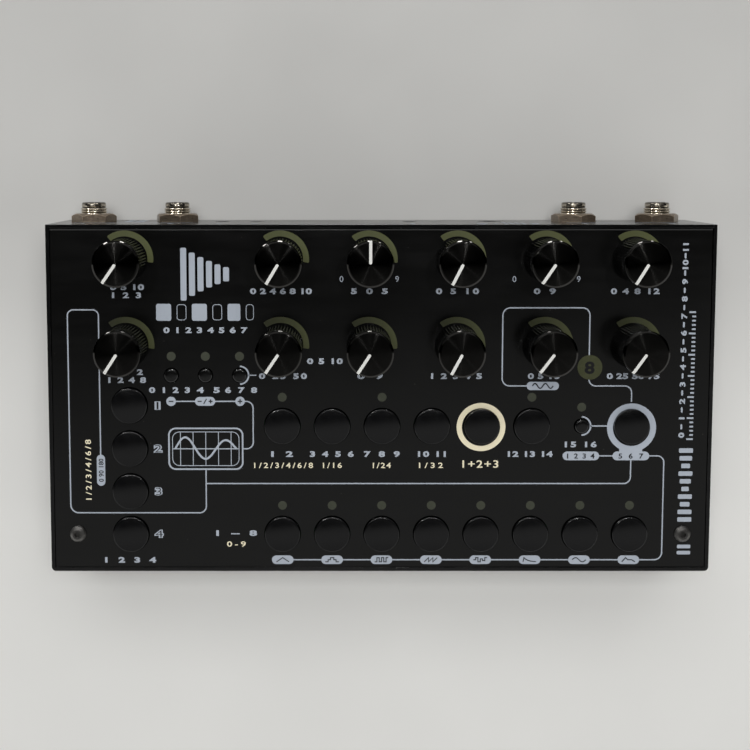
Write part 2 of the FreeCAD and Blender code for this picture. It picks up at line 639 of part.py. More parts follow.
def socket_nut(x, turn):
    """One hexagonal nut with chamfered corners, tight against the rear face."""
    corner = SOCKET_NUT_FLATS / math.sqrt(3)
    envelope = turned([
        (0, 0),
        (corner, 0),
        (corner, SOCKET_NUT_THICKNESS - SOCKET_NUT_CHAMFER),
        (corner - 2 * SOCKET_NUT_CHAMFER, SOCKET_NUT_THICKNESS),
        (0, SOCKET_NUT_THICKNESS),
    ])
    hole = rod(0, 0, -1, SOCKET_NUT_THICKNESS + 1, BARREL_RADIUS + THREAD_CLEARANCE)
    nut = hexagon(SOCKET_NUT_FLATS, SOCKET_NUT_THICKNESS).common(envelope).cut(hole)
    nut.rotate(Vector(0, 0, 0), Vector(0, 0, 1), turn)
    nut.rotate(Vector(0, 0, 0), Vector(1, 0, 0), -90)
    nut.translate(Vector(x, REAR_Y, SOCKET_AXIS))
    return nut


def mini_socket(x):
    """One small plug socket: body under the main board, nose in the rear wall."""
    middle = REAR_WALL_Y - MINI_DEPTH / 2
    bottom = MAIN_BOARD_BOTTOM - MINI_HEIGHT
    body = centred_block(x, middle, MINI_WIDTH, MINI_DEPTH, bottom, MAIN_BOARD_BOTTOM)
    body = body.fuse(rear_rod(x, MINI_AXIS, REAR_WALL_Y - 1, REAR_Y, MINI_NOSE_RADIUS))
    return body.cut(rear_rod(x, MINI_AXIS, REAR_Y - MINI_BORE_DEPTH, REAR_Y + 1, MINI_BORE_RADIUS))


def power_inlet():
    """The power inlet: body under the main board, nose in the rear wall, and its centre pin."""
    middle = REAR_WALL_Y - POWER_DEPTH / 2
    bottom = MAIN_BOARD_BOTTOM - POWER_HEIGHT
    body = centred_block(POWER_X, middle, POWER_WIDTH, POWER_DEPTH, bottom, MAIN_BOARD_BOTTOM)
    body = body.fuse(rear_rod(POWER_X, POWER_AXIS, REAR_WALL_Y - 1, REAR_Y, POWER_NOSE_RADIUS))
    inner_end = REAR_Y - POWER_BORE_DEPTH
    body = body.cut(rear_rod(POWER_X, POWER_AXIS, inner_end, REAR_Y + 1, POWER_BORE_RADIUS))
    pin = rear_rod(POWER_X, POWER_AXIS, inner_end, REAR_Y - POWER_PIN_INSET, POWER_PIN_RADIUS)
    return group([body, pin])


def standoff(x, y):
    post = upright_hexagon(x, y, MAIN_BOARD_TOP, CONTROL_BOARD_BOTTOM, STANDOFF_FLATS)
    bore_radius = BOARD_SCREW_RADIUS + THREAD_CLEARANCE
    return post.cut(rod(x, y, MAIN_BOARD_TOP - 1, CONTROL_BOARD_BOTTOM + 1, bore_radius))


def board_screw(x, y, seat, direction):
    """A screw whose head sits on a board at height seat and whose shank points along direction."""
    head_end = seat - direction * BOARD_SCREW_HEAD_HEIGHT
    shank_end = seat + direction * BOARD_SCREW_LENGTH
    head = rod(x, y, min(seat, head_end), max(seat, head_end), BOARD_SCREW_HEAD_RADIUS)
    shank = rod(x, y, min(head_end, shank_end), max(head_end, shank_end), BOARD_SCREW_RADIUS)
    return head.fuse(shank)


def standoff_screws():
    upper = [board_screw(x, y, CONTROL_BOARD_TOP, -1) for x, y in STANDOFF_POINTS]
    lower = [board_screw(x, y, MAIN_BOARD_BOTTOM, 1) for x, y in STANDOFF_POINTS]
    return group(upper + lower)


def board_headers():
    """The two connectors that join the boards."""
    return group([
        centred_block(x, KNOB_ROWS[1], HEADER_LENGTH, HEADER_WIDTH, MAIN_BOARD_TOP, CONTROL_BOARD_BOTTOM)
        for x in HEADER_COLUMNS
    ])


def processor():
    x = (KNOB_COLUMNS[2] + KNOB_COLUMNS[3]) / 2
    top = MAIN_BOARD_TOP + PROCESSOR_HEIGHT
    return centred_block(x, KNOB_ROWS[1], PROCESSOR_SIZE, PROCESSOR_SIZE, MAIN_BOARD_TOP, top)


def capacitors():
    y = MAIN_BOARD_FRONT + STANDOFF_FRONT
    return group([
        rod(x, y, MAIN_BOARD_TOP, MAIN_BOARD_TOP + CAPACITOR_HEIGHT, CAPACITOR_RADIUS) for x in KNOB_COLUMNS
    ])


def pillar(x, y):
    """A hexagonal pillar from the case floor to the panel, threaded right through."""
    post = upright_hexagon(x, y, CASE_FLOOR, PANEL_BOTTOM, PILLAR_FLATS)
    return post.cut(rod(x, y, CASE_FLOOR - 1, PANEL_BOTTOM + 1, SCREW_RADIUS + THREAD_CLEARANCE))


def panel_screw(x, y):
    """A button head screw with a hexagonal socket, down through the panel into its pillar."""
    shoulder = 0.35 * SCREW_HEAD_HEIGHT
    head = turned([
        (0, PANEL_TOP),
        (SCREW_HEAD_RADIUS, PANEL_TOP),
        (SCREW_HEAD_RADIUS, PANEL_TOP + shoulder),
        (SCREW_HEAD_RADIUS * 0.86, PANEL_TOP + 0.75 * SCREW_HEAD_HEIGHT),
        (SCREW_HEAD_RADIUS * 0.6, PANEL_TOP + SCREW_HEAD_HEIGHT),
        (0, PANEL_TOP + SCREW_HEAD_HEIGHT),
    ], Vector(x, y, 0))
    screw = head.fuse(rod(x, y, PANEL_TOP - SCREW_LENGTH, PANEL_TOP + shoulder, SCREW_RADIUS))
    head_top = PANEL_TOP + SCREW_HEAD_HEIGHT
    return screw.cut(upright_hexagon(x, y, head_top - SCREW_SOCKET_DEPTH, head_top + 1, SCREW_SOCKET_FLATS))


def pillar_screw(x, y):
    """A pan head screw, up through the case floor into its pillar."""
    head = rod(x, y, CASE_BOTTOM - PAN_HEAD_HEIGHT, CASE_BOTTOM, SCREW_HEAD_RADIUS)
    return head.fuse(rod(x, y, CASE_BOTTOM - PAN_HEAD_HEIGHT, CASE_BOTTOM + SCREW_LENGTH, SCREW_RADIUS))


def rubber_feet():
    foot = turned([
        (0, 0),
        (FOOT_RADIUS - FOOT_TAPER, 0),
        (FOOT_RADIUS, FOOT_HEIGHT),
        (0, FOOT_HEIGHT),
    ])
    return group([
        placed(foot, x, y)
        for x in (LEFT_X + FOOT_INSET_X, RIGHT_X - FOOT_INSET_X)
        for y in (FRONT_Y + FOOT_INSET_Y, REAR_Y - FOOT_INSET_Y)
    ])


def fixed_pieces():
    """The nodes that make up the unit's fixed body."""
    points = knob_points()
    return {
        "case": case(),
        "rear_panel": rear_panel(),
        "faceplate": faceplate(),
        "control_board": control_board(),
        "main_board": main_board(),
        "pot_bodies": group([placed(pot_body(), x, y) for x, y in points]),
        "pot_washers": group([placed(pot_washer(), x, y) for x, y in points]),
        "pot_nuts": group([placed(pot_nut(), x, y) for x, y in points]),
        "round_switches": group([
            placed(switch_housing(SWITCH_WIDTH, PLUNGER_RADIUS), x, y) for x, y in ROUND_BUTTONS.values()
        ]),
        "small_switches": group([
            placed(switch_housing(SMALL_SWITCH_WIDTH, SMALL_PLUNGER_RADIUS), x, y)
            for x, y in SMALL_BUTTONS.values()
        ]),
        "lamps": lamps(),
        "socket_bodies": group([socket_body(x) for x in SOCKET_COLUMNS]),
        "socket_barrels": group([socket_barrel(x) for x in SOCKET_COLUMNS]),
        "socket_nuts": group([socket_nut(x, turn) for x, turn in zip(SOCKET_COLUMNS, NUT_TURNS)]),
        "mini_sockets": group([mini_socket(x) for x in MINI_COLUMNS]),
        "power_inlet": power_inlet(),
        "board_standoffs": group([standoff(x, y) for x, y in STANDOFF_POINTS]),
        "standoff_screws": standoff_screws(),
        "board_headers": board_headers(),
        "processor": processor(),
        "capacitors": capacitors(),
        "panel_pillars": group([pillar(x, y) for x, y in PILLAR_POINTS]),
        "panel_screws": group([panel_screw(x, y) for x, y in PILLAR_POINTS]),
        "pillar_screws": group([pillar_screw(x, y) for x, y in PILLAR_POINTS]),
        "rubber_feet": rubber_feet(),
    }


def moving_pieces():
    """One node for each knob and each button."""
    nodes = {}
    turning = knob()
    for name, (x, y, angle) in KNOBS.items():
        nodes[name] = placed(turning, x, y, angle)
    large = round_button()
    for name, (x, y) in ROUND_BUTTONS.items():
        nodes[name] = placed(large, x, y)
    small = small_button()
    for name, (x, y) in SMALL_BUTTONS.items():
        nodes[name] = placed(small, x, y)
    return nodes


def main():
    os.makedirs("parts", exist_ok=True)
    for name, shape in {**fixed_pieces(), **moving_pieces()}.items():
        shape.exportStep("parts/" + name + ".step")


main()
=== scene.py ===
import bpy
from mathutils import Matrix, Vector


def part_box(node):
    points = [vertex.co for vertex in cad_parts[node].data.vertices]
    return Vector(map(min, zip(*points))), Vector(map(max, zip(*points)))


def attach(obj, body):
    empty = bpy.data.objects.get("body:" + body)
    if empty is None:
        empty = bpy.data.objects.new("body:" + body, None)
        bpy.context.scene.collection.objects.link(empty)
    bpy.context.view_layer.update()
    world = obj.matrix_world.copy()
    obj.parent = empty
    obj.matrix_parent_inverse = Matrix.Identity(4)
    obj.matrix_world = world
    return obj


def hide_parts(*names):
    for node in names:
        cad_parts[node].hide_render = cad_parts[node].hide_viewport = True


bl_info = {
    "name": "Digital delay unit",
    "version": (1, 0, 0),
    "blender": (4, 5, 0),
    "location": "3D View > Sidebar > Delay unit",
    "description": "Finishes, print, knobs and buttons for a desktop digital delay unit",
    "category": "Object",
}

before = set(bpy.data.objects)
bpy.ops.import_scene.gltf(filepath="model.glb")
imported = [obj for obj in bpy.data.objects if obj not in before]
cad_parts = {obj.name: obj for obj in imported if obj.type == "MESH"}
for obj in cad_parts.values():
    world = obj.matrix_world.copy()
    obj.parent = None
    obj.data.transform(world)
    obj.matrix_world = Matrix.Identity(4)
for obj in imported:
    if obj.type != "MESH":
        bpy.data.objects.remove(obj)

import math

import bmesh
import bpy
from mathutils import Matrix, Vector

MM = 0.001
TURN = 2 * math.pi


def corners(node):
    """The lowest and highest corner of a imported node, in millimetres."""
    low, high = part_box(node)
    return Vector(low) / MM, Vector(high) / MM


def middle(node):
    """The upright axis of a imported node, as (x, y) in millimetres."""
    low, high = corners(node)
    return (low.x + high.x) / 2, (low.y + high.y) / 2


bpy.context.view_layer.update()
PANEL_HIGH = corners("faceplate")[1]
PANEL_TOP = PANEL_HIGH.z
KNOB_GAP = 0.8
KNOB_BOTTOM = corners("pot_washers")[0].z + KNOB_GAP
KNOB_TOP = corners("knob_filter")[1].z
ROUND_TOP = corners("button_a")[1].z
SMALL_TOP = corners("button_link")[1].z

# Every knob, with the turn of its pointer at rest, clockwise from the rear
KNOBS = {
    "knob_input_gain": 215, "knob_feedback": 211, "knob_filter": 0, "knob_levels": 207,
    "knob_mix": 214, "knob_volume": 211, "knob_speed": 213, "knob_coarse": 214,
    "knob_fine": 213, "knob_spacing": 208, "knob_rate": 217, "knob_amount": 215,
}
SMALL_BUTTONS = ["button_freeze", "button_link", "button_sync", "button_rate_sync"]
ROUND_BUTTONS = [
    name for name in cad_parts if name.startswith("button_") and name not in SMALL_BUTTONS
]
PRESETS = ["button_preset_%d" % number for number in range(1, 9)]


# ---------------------------------------------------------------- settings

def colour(name, description, value):
    return bpy.props.FloatVectorProperty(
        name=name, description=description, default=value, size=3, min=0, max=1, subtype="COLOR")


def length(name, description, value):
    """A size that is given in millimetres and kept in metres."""
    return bpy.props.FloatProperty(
        name=name, description=description, default=value * MM, min=0, precision=5,
        subtype="DISTANCE", unit="LENGTH")


def power(name, description, value):
    return bpy.props.FloatProperty(
        name=name, description=description, default=value, min=0, unit="POWER")


class CaseSettings(bpy.types.PropertyGroup):
    paint: colour("Case paint", "Powder coat of the case and its rear wall", (0.0008, 0.0008, 0.0009))
    lacquer: colour("Faceplate lacquer", "Black lacquer of the faceplate", (0.0011, 0.0011, 0.001))
    dust: colour("Dust", "Specks that lie on the faceplate", (0.05, 0.048, 0.042))
    rubber: colour("Rubber", "The four feet", (0.012, 0.012, 0.012))


class PrintSettings(bpy.types.PropertyGroup):
    silver: colour("Silver ink", "Lines, rings and numbers", (0.392, 0.43, 0.488))
    cream: colour("Cream ink", "The ring and the small second numbers", (0.81, 0.738, 0.536))
    lamp: colour("Lamp window", "The round windows over the lamps", (0.037, 0.041, 0.026))
    arc: colour("Arc window", "The lit arcs round the knobs", (0.075, 0.083, 0.026))
    line: length("Line width", "Width of the printed lines", 0.43)
    thickness: length("Ink thickness", "Height of the ink over the lacquer", 0.03)
    number: length("Number height", "Height of the numbers beside the controls", 2.15)


class KnobSettings(bpy.types.PropertyGroup):
    plastic: colour("Knob plastic", "Moulded body of the knobs", (0.001, 0.001, 0.001))
    cap: colour("Cap metal", "Spun and blackened cap of the knobs", (0.0245, 0.0238, 0.0225))
    pointer: colour("Pointer", "Paint of the pointer line", (0.7, 0.7, 0.67))
    crown: length("Cap crown", "Rise of the cap's face from its bevel to its middle", 0.15)
    pointer_width: length("Pointer width", "Width of the pointer line", 1.0)
    ribs: bpy.props.IntProperty(
        name="Ribs", description="Ribs round each knob", default=46, min=12, max=90)


class ButtonSettings(bpy.types.PropertyGroup):
    cap: colour("Round cap", "Matt plastic of the round buttons", (0.0022, 0.0022, 0.0025))
    small: colour("Small cap", "Polished plastic of the small buttons", (0.003, 0.003, 0.003))
    dome: length("Dome", "Fall of the round cap's face towards its edge", 0.42)


class SocketSettings(bpy.types.PropertyGroup):
    nickel: colour("Nickel", "Plating of the barrels", (0.66, 0.6, 0.5))
    bronze: colour("Nut metal", "Dull warm metal of the nuts", (0.25, 0.2, 0.15))
    moulding: colour("Socket plastic", "Moulded bodies of the sockets", (0.012, 0.012, 0.012))


class StageSettings(bpy.types.PropertyGroup):
    floor: colour("Floor", "Paper that the unit stands on, near the front", (0.76, 0.755, 0.732))
    # The floor colour behind the unit is darker as painted shade, where less light reaches
    far: colour("Floor behind", "The same paper behind the unit", (0.562, 0.557, 0.54))
    top: power("Top light", "Power of the wide light overhead", 8.4)
    rear: power("Rear light", "Power of the wide light behind the unit", 3.6)
    key: power("Key light", "Power of the light in front, towards the right", 1.0)
    lamps: power("Small lamps", "Power of each small lamp that glints on the knobs", 1.6)


# ---------------------------------------------------------------- finishes

class Nodes:
    """A tree of shader nodes."""

    def __init__(self, tree):
        self.tree = tree

    def put(self, socket, value):
        if isinstance(value, bpy.types.NodeSocket):
            self.tree.links.new(value, socket)
        elif socket.type == "RGBA" and len(value) == 3:
            socket.default_value = (*value, 1)
        else:
            socket.default_value = value

    def node(self, kind, **inputs):
        node = self.tree.nodes.new(kind)
        for name, value in inputs.items():
            self.put(node.inputs[name.replace("_", " ")], value)
        return node

    def reckon(self, kind, operation, values, output):
        node = self.tree.nodes.new(kind)
        node.operation = operation
        for socket, value in zip(node.inputs, values):
            self.put(socket, value)
        return node.outputs[output]

    def vector(self, operation, *values, output="Vector"):
        return self.reckon("ShaderNodeVectorMath", operation, values, output)

    def join(self, first, second, operation="ADD"):
        return self.reckon("ShaderNodeMath", operation, (first, second), "Value")

    def span(self, value, low, high, to_low=0.0, to_high=1.0):
        """A value between low and high, brought to another span and held there."""
        node = self.node("ShaderNodeMapRange", Value=value, From_Min=low, From_Max=high,
                         To_Min=to_low, To_Max=to_high)
        return node.outputs["Result"]

    def spread(self, noise, to_low=0.0, to_high=1.0):
        """A noise, which mostly keeps between 0.3 and 0.7, spread over a whole span."""
        return self.span(noise, 0.3, 0.7, to_low, to_high)


class Finish(Nodes):
    """A procedural material: its textures lie in the object's own space, in millimetres."""

    def __init__(self, name, roughness=0.5, metallic=0.0, **sockets):
        self.material = bpy.data.materials.new(name)
        self.material.use_nodes = True
        super().__init__(self.material.node_tree)
        self.shader = self.tree.nodes["Principled BSDF"]
        for socket, value in {"Roughness": roughness, "Metallic": metallic, **sockets}.items():
            self.surface(socket.replace("_", " "), value)
        scale = self.node("ShaderNodeVectorMath", Vector=self.node("ShaderNodeTexCoord").outputs["Object"])
        scale.operation = "SCALE"
        scale.inputs["Scale"].default_value = 1 / MM
        self.place = scale.outputs["Vector"]

    def surface(self, socket, value):
        self.put(self.shader.inputs[socket], value)

    def stretched(self, x, y, z):
        """The place in the material, divided by a size along each axis."""
        return self.vector("MULTIPLY", self.place, (1 / x, 1 / y, 1 / z))

    def along(self, axis):
        """The place along one axis."""
        return self.node("ShaderNodeSeparateXYZ", Vector=self.place).outputs[axis]

    def radius(self):
        """The distance from the upright axis."""
        return self.vector("LENGTH", self.vector("MULTIPLY", self.place, (1, 1, 0)), output="Value")

    def noise(self, size, detail=2.0, rough=0.5, place=None):
        """Soft patches about as wide as size, in millimetres."""
        node = self.node("ShaderNodeTexNoise", Vector=place or self.place,
                         Scale=1.0 if place else 1 / size, Detail=detail, Roughness=rough)
        return node.outputs["Fac"]

    def cells(self, size, randomness=1.0):
        """The distance from the middle of cells about as wide as size."""
        node = self.node("ShaderNodeTexVoronoi", Vector=self.place, Scale=1 / size, Randomness=randomness)
        return node.outputs["Distance"]

    def blend(self, factor, first, second):
        node = self.node("ShaderNodeMix")
        node.data_type = "RGBA"
        self.put(node.inputs["Factor"], factor)
        self.put(node.inputs["A"], first)
        self.put(node.inputs["B"], second)
        return node.outputs["Result"]

    def shades(self, factor, rgb, low, high):
        """A colour that goes from one shade of itself to another."""
        return self.blend(factor, shade(rgb, low), shade(rgb, high))

    def base(self, value):
        self.surface("Base Color", value)

    def rough(self, value):
        self.surface("Roughness", value)

    def bevel(self, width):
        """The normal over edges that are rounded by width mm."""
        node = self.node("ShaderNodeBevel", Radius=width * MM)
        node.samples = 6
        return node.outputs["Normal"]

    def relief(self, layers, edge=0.0):
        """Bumps from (height, depth in mm) pairs, over edges that are rounded by edge mm."""
        normal = self.bevel(edge) if edge else None
        for height, depth in layers:
            bump = self.node("ShaderNodeBump", Height=height, Distance=depth * MM, Strength=1.0)
            if normal is not None:
                self.put(bump.inputs["Normal"], normal)
            normal = bump.outputs["Normal"]
        self.surface("Normal", normal)

    def edges(self, width):
        """One along sharp edges, none on the flat faces."""
        flat = self.node("ShaderNodeNewGeometry").outputs["Normal"]
        return self.span(self.vector("DOT_PRODUCT", self.bevel(width), flat, output="Value"), 0.999, 0.9)


def shade(rgb, factor):
    return tuple(channel * factor for channel in rgb)


def powder_coat(rgb):
    """Black baked paint on folded steel: fine orange peel, worn thin along the edges, where the lighter
    colour is partly wear and partly a painted highlight.
    """
    f = Finish("powder_coat", 0.17)
    grain = f.noise(0.32, 3, 0.6)
    patches = f.noise(22, 3)
    # Lighter edges in patches: partly wear, partly a painted highlight along the edges
    edge_wear_and_highlight = f.join(f.edges(0.35), f.span(f.noise(1.4, 4), 0.45, 0.75), "MULTIPLY")
    f.base(f.blend(edge_wear_and_highlight, f.shades(patches, rgb, 0.7, 1.4), (0.02, 0.0195, 0.019)))
    f.rough(f.join(f.spread(grain, 0.16, 0.23), f.span(patches, 0.35, 0.65, -0.02, 0.02)))
    f.relief([(grain, 0.005)], edge=0.2)
    return f.material


def faceplate_lacquer(rgb, dust):
    """Satin black lacquer with rub marks and a little dust, rolled over its rear edge."""
    f = Finish("faceplate_lacquer", 0.2)
    grain = f.noise(0.22, 2)
    clouds = f.noise(34, 4, 0.55)
    smears = f.noise(1, 3, 0.6, place=f.stretched(26, 5, 26))
    sparse = f.span(f.noise(17, 2), 0.5, 0.62)
    fine = f.join(f.span(f.cells(1.9), 0.034, 0.02, 0, 0.5), sparse, "MULTIPLY")
    dots = f.join(f.span(f.cells(6.5), 0.022, 0.012), fine, "MAXIMUM")
    f.base(f.blend(dots, f.shades(clouds, rgb, 0.75, 1.35), dust))
    f.rough(f.join(f.spread(clouds, 0.17, 0.21), f.span(smears, 0.4, 0.7, 0.0, 0.04)))
    rolled = f.span(f.along("Y"), PANEL_HIGH.y - 0.5, PANEL_HIGH.y, 1, 0)
    f.relief([(grain, 0.0015), (dots, 0.012), (rolled, 0.24)], edge=0.1)
    return f.material


def ink(name, rgb):
    """Screen printed ink: slightly uneven cover and a dry surface."""
    f = Finish(name, 0.62, Specular_IOR_Level=0.3)
    cover = f.noise(0.5, 3, 0.65)
    pits = f.span(f.cells(0.55), 0.12, 0.04)
    f.base(f.blend(f.spread(f.noise(9, 2)), shade(rgb, 0.95), f.shades(cover, rgb, 0.9, 1.08)))
    f.rough(f.spread(cover, 0.55, 0.7))
    f.relief([(f.join(cover, pits, "SUBTRACT"), 0.008)])
    return f.material


def window(name, rgb, left_shade=1.0):
    """Glass laminate over a lamp: a weave seen through resin. The last argument is the share of the colour
    kept at its left end, which is painted shade.
    """
    f = Finish(name, 0.3, Coat_Weight=0.35, Coat_Roughness=0.22)
    warp = f.noise(1, 1, place=f.stretched(0.28, 2.6, 1))
    weft = f.noise(1, 1, place=f.stretched(2.6, 0.28, 1))
    weave = f.join(warp, weft, "MULTIPLY")
    haze = f.noise(2.4, 2)
    tone = f.shades(f.span(weave, 0.14, 0.36), rgb, 0.82, 1.15)
    tone = f.blend(f.spread(haze), shade(rgb, 0.93), tone)
    # Painted shade: the colour darkens towards the left end of the arc
    if left_shade != 1:
        tone = f.blend(f.span(f.along("X"), 8.5, -5.5), tone, shade(rgb, left_shade))
    f.base(tone)
    f.rough(f.spread(haze, 0.34, 0.48))
    f.relief([(weave, 0.006)])
    return f.material


def spun_metal(rgb):
    """A blackened turned face, whose rings fan the light from the middle, and a polished bevel."""
    f = Finish("spun_cap_metal", 0.155, 1.0, Anisotropic=1.0, Anisotropic_Rotation=0.25)
    tangent = f.node("ShaderNodeTangent")
    tangent.direction_type = "RADIAL"
    tangent.axis = "Z"
    f.surface("Tangent", tangent.outputs["Tangent"])
    radius = f.radius()
    ring_place = f.node("ShaderNodeCombineXYZ", X=radius).outputs["Vector"]
    rings = f.node("ShaderNodeTexNoise", Vector=ring_place, Scale=7.0, Detail=3.0).outputs["Fac"]
    touch = f.noise(2.2, 3)
    f.base(f.blend(f.spread(touch), shade(rgb, 0.85), f.shades(rings, rgb, 0.85, 1.2)))
    turned = f.join(f.spread(rings, 0.145, 0.165), f.spread(touch, -0.01, 0.01))
    polish = f.span(radius, CAP - BEVEL - 0.02, CAP - BEVEL + 0.02, 1.0, 0.4)
    f.rough(f.join(turned, polish, "MULTIPLY"))
    f.relief([(rings, 0.0004)])
    return f.material


def moulded(name, rgb, roughness, grain_size=0.25, depth=0.004, edge=0.0, **sockets):
    """Moulded plastic with a fine grain and uneven polish."""
    f = Finish(name, roughness, **sockets)
    grain = f.noise(grain_size, 3, 0.6)
    touch = f.noise(4.5, 3)
    polish = f.spread(touch, roughness * 0.88, roughness * 1.12)
    f.base(f.shades(f.spread(touch), rgb, 0.85, 1.2))
    f.rough(f.join(polish, f.spread(grain, -0.015, 0.015)))
    f.relief([(grain, depth)], edge)
    return f.material


def painted_line(rgb):
    f = Finish("pointer_paint", 0.5)
    cover = f.noise(0.3, 3)
    f.base(f.shades(cover, rgb, 0.9, 1.06))
    f.rough(f.spread(cover, 0.42, 0.55))
    f.relief([(cover, 0.01)])
    return f.material


def plated(name, rgb, roughness, along=(0.25, 6, 6), edge=0.1, depth=0.003, grooves=None):
    """Plated metal with drawn lines, dull patches and rounded edges, darker in the grooves of a thread."""
    f = Finish(name, roughness, 1.0)
    lines = f.noise(1, 3, 0.6, place=f.stretched(*along))
    dull = f.noise(1.8, 4, 0.6)
    tone = f.shades(f.span(dull, 0.35, 0.7), rgb, 1.0, 0.72)
    if grooves:
        tone = f.blend(f.span(f.radius(), *grooves), shade(rgb, 0.2), tone)
    f.base(tone)
    drawn = f.spread(lines, roughness - 0.06, roughness + 0.06)
    f.rough(f.join(drawn, f.span(dull, 0.4, 0.7, 0.0, 0.14)))
    f.relief([(lines, depth), (dull, depth * 2)], edge)
    return f.material


def tarnished(name, rgb, roughness, along):
    """Plated metal under a thin dull film, which covers it in patches and leaves the edges bare; the lighter
    bare edges are partly wear and partly a painted highlight.
    """
    f = Finish(name, roughness, 0.95)
    lines = f.noise(1, 3, 0.6, place=f.stretched(*along))
    film = f.noise(1.3, 3, 0.6)
    patches = f.span(film, 0.35, 0.65)
    tone = f.shades(f.spread(lines), rgb, 0.8, 1.2)
    # Edges lightened 2.2 times: partly bare worn metal, partly a painted highlight
    f.base(f.blend(f.edges(0.3), f.blend(patches, shade(rgb, 0.75), tone), shade(rgb, 2.2)))
    f.surface("Metallic", f.span(film, 0.35, 0.65, 0.75, 0.95))
    drawn = f.spread(lines, roughness - 0.05, roughness + 0.05)
    f.rough(f.join(drawn, f.span(film, 0.4, 0.7, 0.0, 0.08)))
    f.relief([(lines, 0.003), (film, 0.004)], edge=0.12)
    return f.material


def circuit_board(rgb, copper):
    """Solder mask over copper: tracks run both ways under it, with tinned holes."""
    f = Finish("circuit_board", 0.35, Coat_Weight=0.2, Coat_Roughness=0.2)
    across = f.node(
        "ShaderNodeTexWave", Vector=f.place, Scale=0.32, Distortion=3.5, Detail=2.0, Detail_Scale=0.5)
    tracks = f.span(across.outputs["Fac"], 0.55, 0.62)
    holes = f.span(f.cells(2.54, randomness=0.35), 0.14, 0.11)
    f.base(f.blend(holes, f.blend(tracks, rgb, copper), (0.5, 0.48, 0.42)))
    f.rough(f.spread(f.noise(6, 3), 0.3, 0.42))
    f.relief([(tracks, 0.03), (f.noise(0.4, 2), 0.004)])
    return f.material


def foot_rubber(rgb):
    f = Finish("foot_rubber", 0.75)
    grain = f.noise(0.3, 4, 0.7)
    f.base(f.shades(f.noise(3.5, 3), rgb, 0.8, 2.2))
    f.rough(f.spread(grain, 0.68, 0.85))
    f.relief([(grain, 0.03)], edge=0.2)
    return f.material


def stage_paper(near, far):
    """Matt paper, darker behind the unit, where less light reaches the wall in the photo."""
    f = Finish("stage_paper", 0.9, Specular_IOR_Level=0.1)
    # Painted shade: the paper darkens behind the unit
    behind = f.node("ShaderNodeMapRange", Value=f.along("Y"), From_Min=-25.0, From_Max=62.0)
    behind.interpolation_type = "SMOOTHSTEP"
    fibre = f.noise(3, 4, 0.6)
    clouds = f.spread(f.noise(110, 3, 0.5))
    near, far = f.shades(clouds, near, 0.97, 1.03), f.shades(clouds, far, 0.93, 1.05)
    f.base(f.blend(behind.outputs["Result"], near, far))
    f.rough(f.spread(fibre, 0.85, 0.95))
    f.relief([(fibre, 0.01)])
    return f.material


# ---------------------------------------------------------------- meshes

def finished_mesh(bm, name, sharp=32):
    """The bmesh, drawn in millimetres, as a smooth shaded mesh in metres."""
    bmesh.ops.recalc_face_normals(bm, faces=bm.faces)
    bmesh.ops.transform(bm, matrix=Matrix.Scale(MM, 4), verts=bm.verts)
    mesh = bpy.data.meshes.new(name)
    bm.to_mesh(mesh)
    bm.free()
    mesh.polygons.foreach_set("use_smooth", [True] * len(mesh.polygons))
    mesh.set_sharp_from_angle(angle=math.radians(sharp))
    return mesh


def add_piece(name, mesh, material, body, at=(0, 0, 0), turn=0.0, replaces=()):
    """A piece in its place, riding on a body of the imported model."""
    if not mesh.materials:
        mesh.materials.append(material)
    piece = bpy.data.objects.new(name, mesh)
    bpy.context.scene.collection.objects.link(piece)
    piece.location = Vector(at) * MM
    piece.rotation_euler.z = -math.radians(turn)
    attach(piece, body)
    if replaces:
        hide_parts(*replaces)
    return piece


def finish_node(node, material):
    """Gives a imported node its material."""
    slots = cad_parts[node].material_slots
    if not slots:
        raise RuntimeError("%s has no material slot" % node)
    for slot in slots:
        slot.material = material


def bridge(bm, first, second):
    """Faces between two closed rings of points. A ring may be a single point."""
    count = max(len(first), len(second))
    for i in range(count):
        j = (i + 1) % count
        around = []
        for ring, place in ((first, i), (first, j), (second, j), (second, i)):
            vert = ring[place % len(ring)]
            if vert not in around:
                around.append(vert)
        bm.faces.new(around)


def polar(radius, angle):
    return radius * math.cos(angle), radius * math.sin(angle)


def ring_of(bm, radius, height, count, flat=None):
    """A ring of points. flat cuts the ring off at that distance along +Y."""
    if radius == 0:
        return [bm.verts.new((0, 0, height))]
    ring = []
    for i in range(count):
        x, y = polar(radius, TURN * i / count)
        ring.append(bm.verts.new((x, y if flat is None else min(y, flat), height)))
    return ring


def lathe(bm, profile, count=96):
    """A turned solid. The profile is (radius, height) or (radius, height, flat)."""
    rings = [ring_of(bm, point[0], point[1], count, *point[2:]) for point in profile]
    for lower, upper in zip(rings, rings[1:]):
        bridge(bm, lower, upper)
    return rings


def arc_points(x, y, radius, start, end, steps):
    line = []
    for i in range(steps + 1):
        across, up = polar(radius, math.radians(start + (end - start) * i / steps))
        line.append((x + across, y + up))
    return line


def bent(points, closed=False, steps=7):
    """A line whose corners are rounded. Each point is (x, y) or (x, y, radius)."""
    line = []
    count = len(points)
    for i, point in enumerate(points):
        here = Vector(point[:2])
        radius = point[2] if len(point) > 2 else 0
        if not radius or (not closed and i in (0, count - 1)):
            line.append(here)
            continue
        back = (Vector(points[i - 1][:2]) - here).normalized()
        ahead = (Vector(points[(i + 1) % count][:2]) - here).normalized()
        half = back.angle(ahead) / 2
        centre = here + (back + ahead).normalized() * (radius / math.sin(half))
        reach = radius / math.tan(half)
        start, end = here + back * reach - centre, here + ahead * reach - centre
        sweep = start.angle_signed(end)
        for k in range(steps + 1):
            line.append(centre + Matrix.Rotation(-sweep * k / steps, 2) @ start)
    return line


